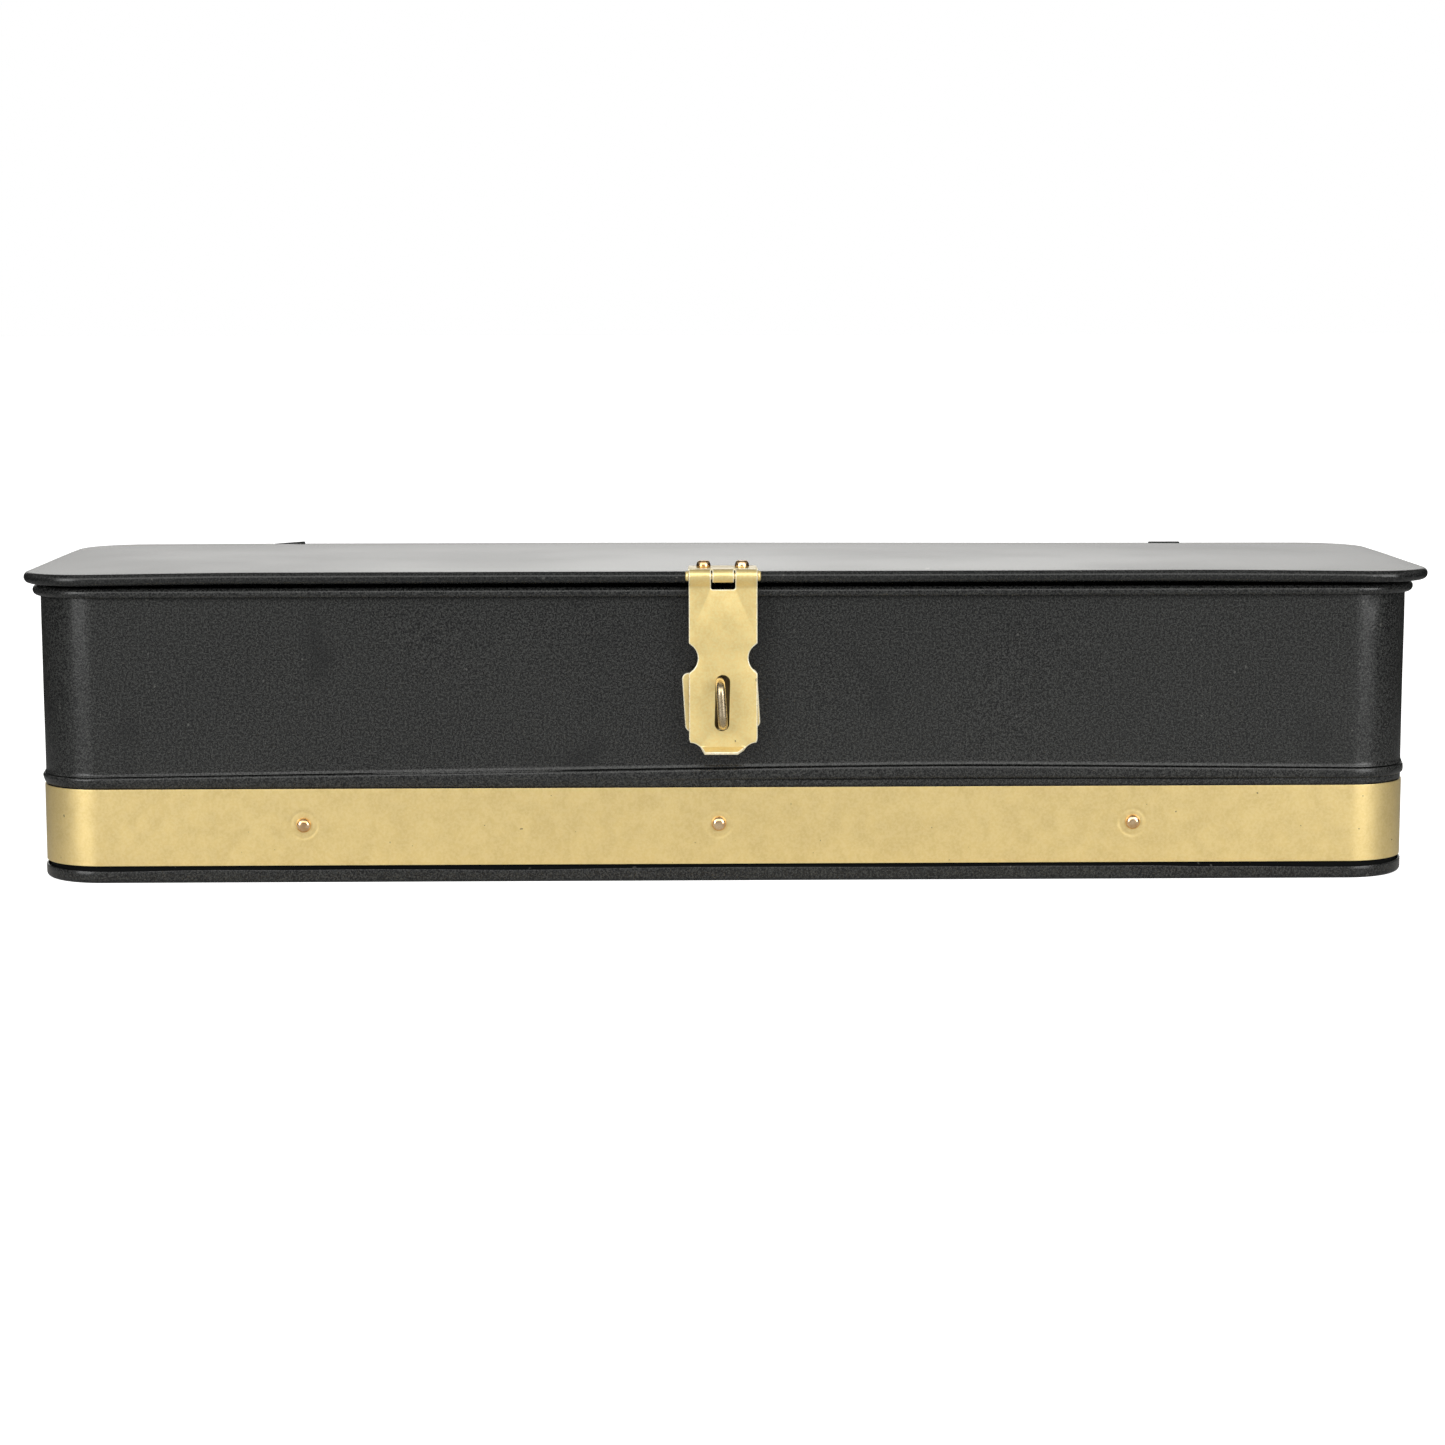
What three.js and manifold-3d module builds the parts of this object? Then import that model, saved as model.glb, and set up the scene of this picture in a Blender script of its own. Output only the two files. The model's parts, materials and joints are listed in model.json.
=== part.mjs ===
// Long, low sheet-steel box with a flat hinged lid, a riveted trim band and a hasp and staple.
// Millimetres, +Z up. X runs along the box and the front faces -Y.
// The origin is the centre of the base's underside.
import * as THREE from 'three';
import { mergeVertices } from 'three/addons/utils/BufferGeometryUtils.js';
import Module from 'manifold-3d';

const wasm = await Module();
wasm.setup();

// ---- Driving dimensions -------------------------------------------------------------------

const totalHeight = 88.6;
const sheet = 0.7;
const fitGap = 0.05;

const bodyLength = 390.6;
const bodyDepth = 104;
const bodyCornerRadius = 18;
const bottomFlange = 9;

const lidLength = 400;
const lidShiftX = 0.8;
const lidDepth = 115;
const lidCornerRadius = 20;
const lidRollRadius = 1.6;
const lidWireRadius = 0.85;

const rimRollRadius = 1.45;
const rimTop = 84.0;
const rimWireRadius = 0.65;

const panSheet = 0.5;
const panLipHeight = 4.7;
const panEdgeRadius = 2.0;

const beadBottom = 27.0;
const beadTop = 31.9;
const beadProud = 0.8;

const bandBottom = 5.0;
const bandTop = 26.9;
const bandSheet = 0.3;
const bandShiftX = -2.0;
const bandRivetSpacing = 117.6;
const bandRivetZ = 16.6;
const bandJointGap = 0.5;
const bandJointRivetX = 8;

const haspX = -0.8;
const pinY = -59.6;
const pinZ = totalHeight - 1.05;
const pinRadius = 0.9;
const pinHead = { radius: 1.45, rimHeight: 0.55, height: 0.9 };
const knuckleRadius = 1.9;

const leafSheet = 0.8;
const leafWidth = 19.4;
const leafBackY = -46.2;
const leafKnuckleWidth = 6.0;
const leafRivetSpacing = 5.4;
const leafRivetY = -51.5;
const leafFrontGap = 0.35;

const strapSheet = 0.9;
const strapWidth = 19.2;
const strapWindowWidth = 6.8;
const strapWindowDrop = 3.85;
const strapPlateSetBack = 0.95;
const strapLength = 50.2;
const strapNotch = { radius: 4.3, depth: 2.5, drop: 23.0 };
const strapScoop = { radius: 4.3, sink: 1.0 };
const strapBendRadius = 1.6;
const strapLip = { radius: 0.9, height: 2.35, turn: 62, straight: 2.4 };
const slotWidth = 4.1;
const slotLength = 15.8;
const slotDrop = 35.7;
const slotShiftX = -0.25;

const stapleX = haspX - 0.5;
const stapleZ = pinZ - slotDrop;
const stapleWireRadius = 1.3;
const stapleLegSpacing = 12.0;
const stapleFrontY = -64.7;
const stapleCorner = 3.2;
const stapleClinch = { bend: 2, length: 6, gap: 0.15 };
const stapleTilt = THREE.MathUtils.degToRad(3.6);
const staplePlate = { width: 21.2, height: 16.8, thickness: 1.0, cornerRadius: 1.8 };
const plateRivetSpacing = 7.6;

const hingeTabX = 138;
const hingeShiftX = 2.3;
const hingeTabWidth = 9.6;
const hingeTabSheet = 0.9;
const hingeTabDrop = 25.0;
const hingeLoopRadius = 2.15;
const hingeStep = { top: -3.2, easeAcross: 0.35, easeDown: 0.8 };
const hingeNotchWidth = 10.6;
const hingeNotchDepth = 2.6;
const hingeRivetDrops = [13.6, 20.6];

// ---- Worked-out positions -----------------------------------------------------------------

const wallFrontY = -bodyDepth / 2;
const wallBackY = bodyDepth / 2;
const hingeAxis = { y: lidDepth / 2 - lidRollRadius, z: totalHeight - lidRollRadius };
const rimCentre = { offset: rimRollRadius - sheet, z: rimTop - rimRollRadius };
const bandOuter = fitGap + bandSheet;
const holeGap = 0.1;
const hingeTabPlaces = { left: hingeShiftX - hingeTabX, right: hingeShiftX + hingeTabX };

const cornerSegments = 5;
const rivetSides = 10;
const mergeTolerance = 1e-4;
const degrees = THREE.MathUtils.degToRad;

// ---- Finishes -----------------------------------------------------------------------------

function paint(color, roughness, metalness) {
  return new THREE.MeshStandardMaterial({ color, roughness, metalness });
}

const blackPaint = () => paint(0x2c2d2f, 0.45, 0.1);
const goldPaint = () => paint(0xdcc783, 0.5, 0.35);
const brass = () => paint(0xb98a45, 0.3, 0.9);
const stapleBrass = () => paint(0x7d6637, 0.35, 0.8);
const steelWire = () => paint(0x6f7072, 0.4, 0.9);

// ---- Shape helpers ------------------------------------------------------------------------

function toSolid(geometry) {
  const bare = geometry.clone();
  bare.deleteAttribute('normal');
  bare.deleteAttribute('uv');
  const merged = mergeVertices(bare, mergeTolerance);
  return new wasm.Manifold(new wasm.Mesh({
    numProp: 3,
    vertProperties: new Float32Array(merged.attributes.position.array),
    triVerts: new Uint32Array(merged.index.array),
  }));
}

function toGeometry(solid) {
  const mesh = solid.getMesh();
  const geometry = new THREE.BufferGeometry();
  geometry.setAttribute('position', new THREE.BufferAttribute(mesh.vertProperties, 3));
  geometry.setIndex(new THREE.BufferAttribute(mesh.triVerts, 1));
  geometry.computeVertexNormals();
  return geometry;
}

function cut(solid, tools) {
  return tools.reduce((rest, tool) => rest.subtract(toSolid(tool)), solid);
}

function arc(x, y, radius, startDegrees, endDegrees, segments) {
  const points = [];
  for (let i = 0; i <= segments; i++) {
    const angle = degrees(startDegrees + (endDegrees - startDegrees) * i / segments);
    points.push([x + radius * Math.cos(angle), y + radius * Math.sin(angle)]);
  }
  return points;
}

// One closed turn round a rounded rectangle, grown outward by offset, at height z.
function roundedRing(outline, offset, z) {
  const radius = outline.radius + offset;
  const signs = [[1, 1], [-1, 1], [-1, -1], [1, -1]];
  return signs.flatMap(([signX, signY], corner) => {
    const centreX = signX * (outline.length / 2 - outline.radius);
    const centreY = signY * (outline.depth / 2 - outline.radius);
    const start = corner * 90;
    return arc(centreX, centreY, radius, start, start + 90, cornerSegments).map(([x, y]) => [x, y, z]);
  });
}

// Sweeps a section of [offset, z] points round a rounded rectangle.
// A closed section makes a hoop. An open one gets a flat face inside its first and last turns.
function sweepRound(outline, section, closed) {
  const rings = section.map(([offset, z]) => roundedRing(outline, offset, z));
  const turn = rings[0].length;
  const index = [];
  const bands = closed ? rings.length : rings.length - 1;
  for (let band = 0; band < bands; band++) {
    const low = band * turn;
    const high = ((band + 1) % rings.length) * turn;
    for (let i = 0; i < turn; i++) {
      const next = (i + 1) % turn;
      index.push(low + i, low + next, high + next);
      index.push(low + i, high + next, high + i);
    }
  }
  if (!closed) {
    const last = (rings.length - 1) * turn;
    for (let i = 1; i < turn - 1; i++) {
      index.push(0, i + 1, i);
      index.push(last, last + i, last + i + 1);
    }
  }
  const geometry = new THREE.BufferGeometry();
  geometry.setAttribute('position', new THREE.Float32BufferAttribute(rings.flat(2), 3));
  geometry.setIndex(index);
  geometry.computeVertexNormals();
  return geometry;
}

// Outline of a strip of sheet, from the line along the middle of its thickness.
function stripOutline(middle, thickness) {
  const sides = [1, -1].map((side) => middle.map((point, i) => {
    const before = middle[Math.max(i - 1, 0)];
    const after = middle[Math.min(i + 1, middle.length - 1)];
    const along = new THREE.Vector2(after[0] - before[0], after[1] - before[1]).normalize();
    return [point[0] - side * along.y * thickness / 2, point[1] + side * along.x * thickness / 2];
  }));
  return [...sides[0], ...sides[1].reverse()];
}

function shapeFrom(points) {
  return new THREE.Shape(points.map(([x, y]) => new THREE.Vector2(x, y)));
}

// A side view drawn in [y, z], made as wide as width and centred on x = 0.
function prismAlongX(points, width) {
  const geometry = new THREE.ExtrudeGeometry(shapeFrom(points), { depth: width, bevelEnabled: false });
  const axes = new THREE.Matrix4().makeBasis(
    new THREE.Vector3(0, 1, 0), new THREE.Vector3(0, 0, 1), new THREE.Vector3(1, 0, 0));
  return geometry.applyMatrix4(axes).translate(-width / 2, 0, 0);
}

// A front view drawn in [x, z], running back from yFront by depth.
function prismAlongY(shape, yFront, depth, curveSegments = 6) {
  const geometry = new THREE.ExtrudeGeometry(shape, { depth, bevelEnabled: false, curveSegments });
  return geometry.rotateX(Math.PI / 2).translate(0, yFront + depth, 0);
}

function box(x, y, z, sizeX, sizeY, sizeZ) {
  return new THREE.BoxGeometry(sizeX, sizeY, sizeZ).translate(x, y, z);
}

function roundedRectangle(width, height, radius) {
  const right = width / 2 - radius;
  const top = height / 2 - radius;
  const shape = new THREE.Shape();
  shape.absarc(right, top, radius, 0, degrees(90));
  shape.absarc(-right, top, radius, degrees(90), degrees(180));
  shape.absarc(-right, -top, radius, degrees(180), degrees(270));
  shape.absarc(right, -top, radius, degrees(270), degrees(360));
  return shape;
}

// ---- Rivets and their holes ---------------------------------------------------------------

// A rivet stands on z = 0 with its domed head up. Its shank goes down through the grip,
// and its tail is spread against the far face.
function rivetGeometry({ headRadius, headHeight, shankRadius, grip, tailRadius, tailHeight }) {
  const bottom = -grip - 2 * fitGap;
  const dome = arc(0, 0, 1, 0, 90, 4).map(([x, y]) => [headRadius * x, headHeight * y]);
  const profile = [
    [0, bottom - tailHeight],
    [0.75 * tailRadius, bottom - tailHeight],
    [tailRadius, bottom],
    [shankRadius, bottom],
    [shankRadius, 0],
    ...dome.slice(0, -1),
    [0, headHeight],
  ];
  const points = profile.map(([x, y]) => new THREE.Vector2(x, y));
  return new THREE.LatheGeometry(points, rivetSides).rotateX(Math.PI / 2);
}

function placeOn(object, position, normal) {
  object.position.set(...position);
  object.quaternion.setFromUnitVectors(new THREE.Vector3(0, 0, 1), new THREE.Vector3(...normal));
  return object;
}

// A tool that cuts a round hole along the line through position in the direction normal.
function holeTool(position, normal, radius, length = 12) {
  const geometry = new THREE.CylinderGeometry(radius, radius, length, rivetSides);
  const turn = new THREE.Quaternion().setFromUnitVectors(
    new THREE.Vector3(0, 1, 0), new THREE.Vector3(...normal));
  return geometry.applyQuaternion(turn).translate(...position);
}

const bandRivet = {
  headRadius: 2.0, headHeight: 1.35, shankRadius: 1.0,
  grip: bandOuter + sheet, tailRadius: 1.6, tailHeight: 0.6,
};
const leafRivet = {
  headRadius: 2.05, headHeight: 1.8, shankRadius: 1.0,
  grip: leafSheet + fitGap + sheet, tailRadius: 1.7, tailHeight: 0.7,
};
const plateRivet = {
  headRadius: 1.8, headHeight: 0.7, shankRadius: 0.9,
  grip: staplePlate.thickness + fitGap + sheet, tailRadius: 1.5, tailHeight: 0.6,
};
const hingeRivet = {
  headRadius: 1.9, headHeight: 1.1, shankRadius: 1.0,
  grip: hingeTabSheet + fitGap + sheet, tailRadius: 1.6, tailHeight: 0.6,
};

const front = [0, -1, 0];
const back = [0, 1, 0];
const up = [0, 0, 1];
const bandFaceY = bodyDepth / 2 + bandOuter + fitGap;
const bandFaceX = bodyLength / 2 + bandOuter + fitGap;

const bandRearRivetX = {
  left: -bandRivetSpacing,
  joint_left: -bandJointRivetX,
  joint_right: bandJointRivetX,
  right: bandRivetSpacing,
};

const bandRivetPlaces = [
  ...['left', 'middle', 'right'].map((place, i) => ({
    name: `band_rivet_front_${place}`,
    position: [bandShiftX + (i - 1) * bandRivetSpacing, -bandFaceY, bandRivetZ],
    normal: front,
  })),
  ...Object.entries(bandRearRivetX).map(([place, x]) => ({
    name: `band_rivet_rear_${place}`,
    position: [x, bandFaceY, bandRivetZ],
    normal: back,
  })),
  { name: 'band_rivet_side_left', position: [-bandFaceX, 0, bandRivetZ], normal: [-1, 0, 0] },
  { name: 'band_rivet_side_right', position: [bandFaceX, 0, bandRivetZ], normal: [1, 0, 0] },
];

const leafRivetPlaces = [-1, 1].map((side) => ({
  name: `leaf_rivet_${side < 0 ? 'left' : 'right'}`,
  position: [haspX + side * leafRivetSpacing, leafRivetY, totalHeight + 2 * fitGap + leafSheet],
  normal: up,
}));

const plateFaceY = wallFrontY - 2 * fitGap - staplePlate.thickness;
const plateRivetPlaces = [-1, 1].map((side) => ({
  name: `plate_rivet_${side < 0 ? 'left' : 'right'}`,
  position: [
    stapleX + side * plateRivetSpacing * Math.cos(stapleTilt),
    plateFaceY,
    stapleZ + side * plateRivetSpacing * Math.sin(stapleTilt),
  ],
  normal: front,
}));

const tabFaceY = wallBackY + 2 * fitGap + hingeTabSheet;
const hingeRivetPlaces = Object.entries(hingeTabPlaces).flatMap(
  ([side, x]) => hingeRivetDrops.map((drop, row) => ({
    name: `hinge_rivet_${side}_${row ? 'lower' : 'upper'}`,
    position: [x, tabFaceY, hingeAxis.z - drop],
    normal: back,
  })));

function rivetHoles(places, rivet) {
  return places.map(({ position, normal }) => holeTool(position, normal, rivet.shankRadius + holeGap));
}

// ---- Box body -----------------------------------------------------------------------------

const bodyOutline = { length: bodyLength, depth: bodyDepth, radius: bodyCornerRadius };

// The bead's outer face. Its inner face is the same line, one sheet further in.
const beadLine = [
  [0, beadBottom],
  [0.7 * beadProud, beadBottom + 0.7],
  [beadProud, beadBottom + 1.8],
  [beadProud, beadTop - 1.6],
  [0.7 * beadProud, beadTop - 0.5],
  [0, beadTop],
];

const stapleLegPlaces = [-1, 1].map((side) => [
  stapleX - side * stapleLegSpacing / 2 * Math.sin(stapleTilt),
  wallFrontY,
  stapleZ + side * stapleLegSpacing / 2 * Math.cos(stapleTilt),
]);

function bodyWall() {
  const turnRadius = panEdgeRadius - panSheet - fitGap;
  const turnZ = panEdgeRadius;
  const curlEnd = -112.5;
  const section = [
    [-bottomFlange, turnZ - turnRadius],
    ...arc(-turnRadius, turnZ, turnRadius, -90, 0, 3),
    ...beadLine,
    ...arc(rimCentre.offset, rimCentre.z, rimRollRadius - sheet, 180, curlEnd, 13),
    ...arc(rimCentre.offset, rimCentre.z, rimRollRadius, curlEnd, 180, 13),
    ...beadLine.map(([offset, z]) => [offset - sheet, z]).reverse(),
    ...arc(-turnRadius, turnZ, turnRadius - sheet, 0, -90, 3),
    [-bottomFlange, turnZ - turnRadius + sheet],
  ];
  const holes = [
    ...rivetHoles(bandRivetPlaces, bandRivet),
    ...rivetHoles(plateRivetPlaces, plateRivet),
    ...rivetHoles(hingeRivetPlaces, hingeRivet),
    ...stapleLegPlaces.map((place) => holeTool(place, front, stapleWireRadius + holeGap)),
  ];
  return toGeometry(cut(toSolid(sweepRound(bodyOutline, section, true)), holes));
}

function rimWire() {
  const section = arc(rimCentre.offset, rimCentre.z, rimWireRadius, 0, 360, 6).slice(0, -1);
  return sweepRound(bodyOutline, section, true);
}

function basePan() {
  const inner = panEdgeRadius - panSheet;
  const centre = fitGap - inner;
  return sweepRound(bodyOutline, [
    ...arc(centre, panEdgeRadius, panEdgeRadius, -90, 0, 4),
    [fitGap + panSheet, panLipHeight],
    [fitGap, panLipHeight],
    ...arc(centre, panEdgeRadius, inner, 0, -90, 3),
  ], false);
}

// The band goes right round and butts at the middle of the back.
function trimBand() {
  const hoop = sweepRound(bodyOutline, [
    [bandOuter, bandBottom],
    [bandOuter, bandTop],
    [fitGap, bandTop],
    [fitGap, bandBottom],
  ], true);
  const joint = box(0, wallBackY, (bandBottom + bandTop) / 2, bandJointGap, 4, 2 * bandTop);
  return toGeometry(cut(toSolid(hoop), [joint, ...rivetHoles(bandRivetPlaces, bandRivet)]));
}

// ---- Lid ----------------------------------------------------------------------------------

const lidOutline = { length: lidLength, depth: lidDepth, radius: lidCornerRadius };

function lidPanel() {
  const curlEnd = -180;
  const section = [
    ...arc(-lidRollRadius, hingeAxis.z, lidRollRadius - sheet, 90, curlEnd, 12),
    ...arc(-lidRollRadius, hingeAxis.z, lidRollRadius, curlEnd, 90, 12),
  ];
  const reach = { y: 10, z: 12 };
  const notches = Object.values(hingeTabPlaces).map((x) => box(
    x, hingeAxis.y - hingeNotchDepth + reach.y / 2, totalHeight, hingeNotchWidth, reach.y, reach.z));
  const holes = rivetHoles(leafRivetPlaces, leafRivet);
  const sheetGeometry = sweepRound(lidOutline, section, false).translate(lidShiftX, 0, 0);
  return toGeometry(cut(toSolid(sheetGeometry), [...notches, ...holes]));
}

// The wire that stiffens the lid's rolled edge is also the hinge pin where the tabs hold it.
function lidEdgeWire() {
  const section = arc(-lidRollRadius, hingeAxis.z, lidWireRadius, 0, 360, 8).slice(0, -1);
  return sweepRound(lidOutline, section, true).translate(lidShiftX, 0, 0);
}

// A tab loops over the lid's edge wire, steps in behind the rim and lies flat on the back wall.
// The step runs at 45 degrees, with an eased corner at each end.
function hingeTab() {
  const loop = hingeLoopRadius - hingeTabSheet / 2;
  const wallLine = wallBackY + fitGap + hingeTabSheet / 2 - hingeAxis.y;
  const { top, easeAcross, easeDown } = hingeStep;
  const slopeEnd = top - easeDown - (loop - wallLine - 2 * easeAcross);
  const middle = [
    ...arc(0, 0, loop, 250, 0, 12),
    [loop, top],
    [loop - easeAcross, top - easeDown],
    [wallLine + easeAcross, slopeEnd],
    [wallLine, slopeEnd - easeDown],
    [wallLine, -hingeTabDrop],
  ];
  const tab = prismAlongX(stripOutline(middle, hingeTabSheet), hingeTabWidth);
  const holes = hingeRivetDrops.map((drop) => holeTool(
    [0, wallLine, -drop], back, hingeRivet.shankRadius + holeGap));
  return toGeometry(cut(toSolid(tab), holes));
}

// ---- Hasp ---------------------------------------------------------------------------------

// Both hasp pieces are drawn about the pin: y = 0 and z = 0 are its centre line.
function haspLeaf() {
  const plateZ = totalHeight + fitGap + leafSheet / 2 - pinZ;
  const backY = leafBackY - pinY;
  const frontY = knuckleRadius + leafFrontGap;
  const overlap = 1;
  const plate = box(0, (frontY + backY) / 2, plateZ, leafWidth, backY - frontY, leafSheet);
  const knuckle = [
    [frontY + overlap, plateZ],
    ...arc(0, 0, knuckleRadius - leafSheet / 2, 90, 345, 11),
  ];
  const strip = prismAlongX(stripOutline(knuckle, leafSheet), leafKnuckleWidth);
  const holes = [-1, 1].map((side) => holeTool(
    [side * leafRivetSpacing, leafRivetY - pinY, plateZ], up, leafRivet.shankRadius + holeGap));
  return toGeometry(cut(toSolid(plate).add(toSolid(strip)), holes));
}

// Front view of the strap: waisted by two round notches, with its bottom corners scooped out.
function strapOutline() {
  const half = strapWidth / 2;
  const notchInset = strapNotch.radius - strapNotch.depth;
  const notchAngle = THREE.MathUtils.radToDeg(Math.acos(notchInset / strapNotch.radius));
  const scoopAngle = THREE.MathUtils.radToDeg(Math.asin(strapScoop.sink / strapScoop.radius));
  const rightSide = [
    [half, knuckleRadius + 1],
    ...arc(half + notchInset, -strapNotch.drop, strapNotch.radius, 180 - notchAngle, 180 + notchAngle, 8),
    ...arc(half, -strapLength - strapScoop.sink, strapScoop.radius, 90, 180 - scoopAngle, 5),
  ].sort((a, b) => b[1] - a[1]);
  const leftSide = rightSide.map(([x, z]) => [-x, z]).reverse();
  const shape = shapeFrom([...rightSide, ...leftSide]);
  const straight = (slotLength - slotWidth) / 2;
  const slot = new THREE.Path();
  slot.absarc(slotShiftX, straight - slotDrop, slotWidth / 2, 0, degrees(180));
  slot.absarc(slotShiftX, -straight - slotDrop, slotWidth / 2, degrees(180), degrees(360));
  shape.holes.push(slot);
  return shape;
}

// Side view of the strap: rolled round the pin from the front, set back to the flat plate,
// and turned out into a finger lip at the bottom.
function strapSide() {
  const roll = knuckleRadius - strapSheet / 2;
  const bend = strapBendRadius;
  const slope = Math.SQRT1_2;
  const slopeEnd = strapPlateSetBack - bend * (1 - slope);
  const plateTop = -2 * roll * slope - slopeEnd - bend * slope;
  const lipTop = -strapLength + strapLip.height;
  const lip = arc(strapPlateSetBack - strapLip.radius, lipTop, strapLip.radius, 0, -strapLip.turn, 4);
  const lipAngle = degrees(strapLip.turn);
  const tip = [
    lip.at(-1)[0] - strapLip.straight * Math.sin(lipAngle),
    lip.at(-1)[1] - strapLip.straight * Math.cos(lipAngle),
  ];
  return stripOutline([
    ...arc(0, 0, roll, -60, 225, 14),
    ...arc(strapPlateSetBack - bend, plateTop, bend, 45, 0, 3),
    ...lip,
    tip,
  ], strapSheet);
}

function haspStrap() {
  const side = toSolid(prismAlongX(strapSide(), strapWidth));
  const view = toSolid(prismAlongY(strapOutline(), -8, 16));
  const over = 5;
  const window = box(0, 0, (over - strapWindowDrop) / 2, strapWindowWidth, 2 * over, over + strapWindowDrop);
  return toGeometry(cut(side.intersect(view), [window]));
}

function haspPin() {
  const half = strapWidth / 2 + fitGap;
  const end = [
    [pinRadius, half],
    [pinHead.radius, half],
    [pinHead.radius, half + pinHead.rimHeight],
    [pinRadius, half + pinHead.height],
    [0, half + pinHead.height],
  ];
  const otherEnd = end.map(([radius, x]) => [radius, -x]).reverse();
  const points = [...otherEnd, ...end].map(([radius, x]) => new THREE.Vector2(radius, x));
  return new THREE.LatheGeometry(points, rivetSides).rotateZ(-Math.PI / 2);
}

// ---- Staple -------------------------------------------------------------------------------

// The plate and the wire are drawn about the staple's centre on the wall's face.
function staplePlateGeometry() {
  const { width, height, thickness, cornerRadius } = staplePlate;
  const shape = roundedRectangle(width, height, cornerRadius);
  const plate = prismAlongY(shape, -fitGap - thickness, thickness, 3);
  const legs = [-1, 1].map((side) => holeTool(
    [0, 0, side * stapleLegSpacing / 2], front, stapleWireRadius + holeGap));
  const rivets = [-1, 1].map((side) => holeTool(
    [side * plateRivetSpacing, 0, 0], front, plateRivet.shankRadius + holeGap));
  return toGeometry(cut(toSolid(plate), [...legs, ...rivets]));
}

// Two legs go through the wall and are clinched away from each other inside the box.
function stapleWire() {
  const legZ = stapleLegSpacing / 2;
  const frontY = stapleFrontY - wallFrontY;
  const clinchY = sheet + stapleWireRadius + stapleClinch.gap;
  const corner = stapleCorner;
  const { bend, length } = stapleClinch;
  const point = (y, z) => new THREE.Vector3(0, y, z);
  const path = new THREE.CurvePath();
  const half = (side) => [
    new THREE.LineCurve3(point(clinchY, side * (legZ + length)), point(clinchY, side * (legZ + bend))),
    new THREE.QuadraticBezierCurve3(
      point(clinchY, side * (legZ + bend)), point(clinchY, side * legZ), point(0, side * legZ)),
    new THREE.LineCurve3(point(0, side * legZ), point(frontY + corner, side * legZ)),
    new THREE.QuadraticBezierCurve3(
      point(frontY + corner, side * legZ), point(frontY, side * legZ), point(frontY, side * (legZ - corner))),
  ];
  const turned = (curve) => (curve.isLineCurve3
    ? new THREE.LineCurve3(curve.v2, curve.v1)
    : new THREE.QuadraticBezierCurve3(curve.v2, curve.v1, curve.v0));
  half(1).forEach((curve) => path.add(curve));
  path.add(new THREE.LineCurve3(point(frontY, legZ - corner), point(frontY, corner - legZ)));
  half(-1).reverse().forEach((curve) => path.add(turned(curve)));
  const section = shapeFrom(arc(0, 0, stapleWireRadius, 0, 360, 8).slice(0, -1));
  return new THREE.ExtrudeGeometry(section, { steps: 40, extrudePath: path, bevelEnabled: false });
}

// ---- Assembly -----------------------------------------------------------------------------

const group = new THREE.Group();

function addMesh(name, geometry, material, parent = group) {
  const mesh = new THREE.Mesh(geometry, material);
  mesh.name = name;
  parent.add(mesh);
  return mesh;
}

function addGroup(x, y, z) {
  const child = new THREE.Group();
  child.position.set(x, y, z);
  group.add(child);
  return child;
}

function addRivets(places, rivet, material) {
  places.forEach(({ name, position, normal }) => {
    placeOn(addMesh(name, rivetGeometry(rivet), material()), position, normal);
  });
}

addMesh('body_wall', bodyWall(), blackPaint());
addMesh('rim_wire', rimWire(), steelWire());
addMesh('base_pan', basePan(), blackPaint());
addMesh('trim_band', trimBand(), goldPaint());
addRivets(bandRivetPlaces, bandRivet, brass);

addMesh('lid_panel', lidPanel(), blackPaint());
addMesh('lid_edge_wire', lidEdgeWire(), steelWire());
Object.entries(hingeTabPlaces).forEach(([side, x]) => {
  addMesh(`hinge_tab_${side}`, hingeTab(), blackPaint(), addGroup(x, hingeAxis.y, hingeAxis.z));
});
addRivets(hingeRivetPlaces, hingeRivet, blackPaint);

const pinLine = addGroup(haspX, pinY, pinZ);
addMesh('hasp_leaf', haspLeaf(), goldPaint(), pinLine);
addMesh('hasp_strap', haspStrap(), goldPaint(), pinLine);
addMesh('hasp_pin', haspPin(), goldPaint(), pinLine);
addRivets(leafRivetPlaces, leafRivet, brass);

const stapleMount = addGroup(stapleX, wallFrontY, stapleZ);
stapleMount.rotation.y = -stapleTilt;
addMesh('staple_plate', staplePlateGeometry(), goldPaint(), stapleMount);
addMesh('staple', stapleWire(), stapleBrass(), stapleMount);
addRivets(plateRivetPlaces, plateRivet, goldPaint);

export default group;
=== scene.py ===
"""Looks of a long, low sheet-metal box: black paint, gold trim band, brass rivets, hasp and staple."""

import json
import math

import bmesh
import bpy
import numpy as np
from mathutils import Matrix, Vector, noise

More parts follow.
